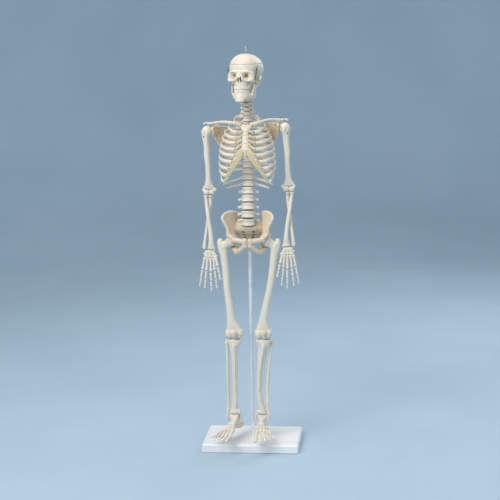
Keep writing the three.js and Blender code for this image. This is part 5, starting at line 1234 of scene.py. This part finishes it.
def mandible():
    clay = Clay(0.75, at=PIVOT, turn=YAW)
    hinge = 24.5
    clay.tube([(-22.4, -12, -20, 6.0, 2.4), (-16.6, -25, -22, 5.2, 2.6), (-9, -37.4, -23.6, 5.6, 2.6), (0, -41.6, -24.4, 6.4, 2.6),
               (9, -37.4, -23.6, 5.6, 2.6), (16.6, -25, -22, 5.2, 2.6), (22.4, -12, -20, 6.0, 2.4)], soft=2, across=(0, 0, 1))
    clay.tube([(-7, -41, -30, 2.4, 2.2), (0, -43.6, -29.6, 3.6, 2.8), (7, -41, -30, 2.4, 2.2)], soft=3, across=(0, 0, 1))
    for _, s in SIDES:
        clay.ball((s * hinge, -8, 6), (3.7, 2.4, 2.6), soft=1.4)
        clay.tube([(s * hinge, -8, 5, 2.2, 2.2), (s * 24.2, -8.6, -2, 1.7, 3.4), (s * 22.2, -15, -10, 2.1, 8.6),
                   (s * 21.6, -15, -19, 2.4, 8.6)], soft=2.4)
        clay.tube([(s * 23.4, -18.6, 1.2, 1.0, 1.6), (s * 23.0, -17.6, -5, 1.3, 3.4), (s * 22.6, -15, -13, 1.6, 5)], soft=2.4)
        clay.tube([(s * 22.6, -9, -24, 1.6, 2.4), (s * 22, -14, -25.6, 1.5, 2)], soft=2.4)
        clay.tube([(s * 14.4, -23, -15.6, 2.2, 2.4), (s * 12.4, -32, -16.2, 2.2, 2.2), (s * 6, -38.6, -16.8, 2.2, 2.0), (0, -39.8, -17, 2.2, 1.9)],
                  soft=2.6, across=(0, 0, 1))
        clay.ball((s * 12.8, -38, -24.2), (1.0, 1.6, 0.9), soft=0.6, cut=True)
        clay.ball((s * 21, -12, -9), (1.2, 2, 1.4), soft=0.6, cut=True)
    cast("mandible_bone", clay, "jaw", "mandible", "bone_warm", SKULL)
    teeth("lower_teeth", "jaw", "mandible", -15.2, -8.6, 14.2, -22.6, -40.4)


def jaw_spring(side, s):
    """A close-wound coil spring with a straight hook at each end."""
    path = smooth_path([(s * 30.8, -18.4, 37.6), (s * 30, -21.4, 28), (s * 28.4, -23.4, 17.5), (s * 25.6, -22.4, 9), (s * 25, -19.6, 2.4)], 30)
    gaps = np.linalg.norm(np.diff(path, axis=0), axis=1)
    along = np.concatenate([[0], np.cumsum(gaps)])
    total = along[-1]
    turns, per_turn, r = 24, 12, 0.92
    rows = []
    for k in range(turns * per_turn + 1):
        share = 0.1 + 0.8 * k / (turns * per_turn)
        centre = np.array([np.interp(share * total, along, path[:, i]) for i in range(3)])
        ahead = np.array([np.interp(min(1, share + 0.02) * total, along, path[:, i]) for i in range(3)])
        wide, deep = frame_along(unit(ahead - centre), (0, 1, 0))
        a = 2 * math.pi * k / per_turn
        rows.append((*(centre + r * (math.cos(a) * wide + math.sin(a) * deep)), 0.3))
    rows = [(*path[0], 0.3), (*path[4], 0.3)] + rows + [(*path[-5], 0.3), (*path[-1], 0.3)]
    points, faces = sweep(rows, across=(0.3, 0.9, 0.2), sides=6, per=1)
    c, sn = math.cos(YAW), math.sin(YAW)
    points = points @ np.array([[c, sn, 0], [-sn, c, 0], [0, 0, 1]]) + PIVOT
    mesh_piece = piece(f"jaw_spring_coil_{side}", points, faces, None, f"jaw_spring_{side}", "spring_steel", SPRING)
    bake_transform(mesh_piece)


# ------------------------------------------------------------ the whole skeleton
base_plate()
support_rod()
sacrum()
spine_core()
for label in SPINE:
    if label not in ("c1", "c2"):
        vertebra(label)
atlas_and_axis()
sternum()
for side_name, sign in SIDES:
    rib_cage(side_name, sign)
    clavicle(side_name, sign)
    scapula(side_name, sign)
    arm(side_name, sign)
    hip_bone(side_name, sign)
    femur(side_name, sign)
    tibia(side_name, sign)
    foot(side_name, sign)
skull()


# ------------------------------------------------------------ floor, light and camera
def stage_floor():
    material, tree, bsdf = shader("floor_pale")
    at = tree.nodes.new("ShaderNodeTexCoord").outputs["Object"]
    tree.links.new(mixed(tree, ramp(tree, noise(tree, 3, 3, 0.5, at), 0.3, 0.7), (0.40, 0.53, 0.635), (0.43, 0.56, 0.665)),
                   bsdf.inputs["Base Color"])
    bsdf.inputs["Roughness"].default_value = 0.8
    sides = 96
    rings = [(0.5, 0), (1.7, 0), (2.2, 0.03), (2.6, 0.13), (2.85, 0.3), (3.0, 0.55), (3.05, 0.9), (3.05, 2.6)]
    angles = np.linspace(0, 2 * math.pi, sides, endpoint=False)
    points = [(r * math.cos(a), r * math.sin(a), z - 0.0003) for r, z in rings for a in angles]
    faces = [list(range(sides))]
    for i in range(len(rings) - 1):
        for k in range(sides):
            n = (k + 1) % sides
            faces.append([i * sides + k, i * sides + n, (i + 1) * sides + n, (i + 1) * sides + k][::-1])
    mesh = bpy.data.meshes.new("floor")
    mesh.from_pydata(points, [], faces)
    mesh.polygons.foreach_set("use_smooth", [True] * len(faces))
    mesh.materials.append(material)
    floor = bpy.data.objects.new("floor", mesh)
    bpy.context.scene.collection.objects.link(floor)


def area_light(name, place, target, size, power, colour=(1, 1, 1)):
    data = bpy.data.lights.new(name, "AREA")
    data.shape = "RECTANGLE"
    data.size, data.size_y = size
    data.energy = power
    data.color = colour
    lamp = bpy.data.objects.new(name, data)
    lamp.location = place
    lamp.rotation_euler = (Vector(target) - Vector(place)).to_track_quat("-Z", "Y").to_euler()
    lamp.visible_camera = False
    bpy.context.scene.collection.objects.link(lamp)


def camera():
    turn, pitch, roll = math.radians(5.857), math.radians(9.353), math.radians(-0.910)
    distance, height = 2.8057, 0.8761
    data = bpy.data.cameras.new("camera")
    data.sensor_width, data.lens = 36, 99.06
    data.clip_start, data.clip_end = 0.05, 50
    view = bpy.data.objects.new("camera", data)
    bpy.context.scene.collection.objects.link(view)
    forward = Vector((-math.sin(turn) * math.cos(pitch), math.cos(turn) * math.cos(pitch), -math.sin(pitch)))
    right = Vector((math.cos(turn), math.sin(turn), 0))
    up = right.cross(forward)
    side = right * math.cos(roll) + up * math.sin(roll)
    top = -right * math.sin(roll) + up * math.cos(roll)
    matrix = view.matrix_world
    for i in range(3):
        matrix[i][0], matrix[i][1], matrix[i][2] = side[i], top[i], -forward[i]
    matrix[0][3], matrix[1][3], matrix[2][3] = math.sin(turn) * distance, -math.cos(turn) * distance, height
    view.matrix_world = matrix
    bpy.context.scene.camera = view


stage_floor()
area_light("key", (-1.0, -1.7, 1.9), (0, 0, 0.45), (1.3, 1.3), 46, (1.0, 0.98, 0.95))
area_light("fill", (1.7, -1.3, 1.0), (0, 0, 0.4), (1.5, 1.5), 7, (0.97, 0.985, 1.0))
area_light("top", (0.1, 0.2, 2.3), (0, 0, 0.4), (1.6, 1.6), 15)
area_light("rim", (0.9, 1.4, 1.3), (0, 0, 0.5), (1.0, 1.0), 10)
world = bpy.data.worlds.new("studio")
world.use_nodes = True
world.node_tree.nodes["Background"].inputs["Color"].default_value = (1.0, 1.0, 1.0, 1)
world.node_tree.nodes["Background"].inputs["Strength"].default_value = 0.3
bpy.context.scene.world = world
bpy.context.scene.view_settings.view_transform = "Standard"
camera()
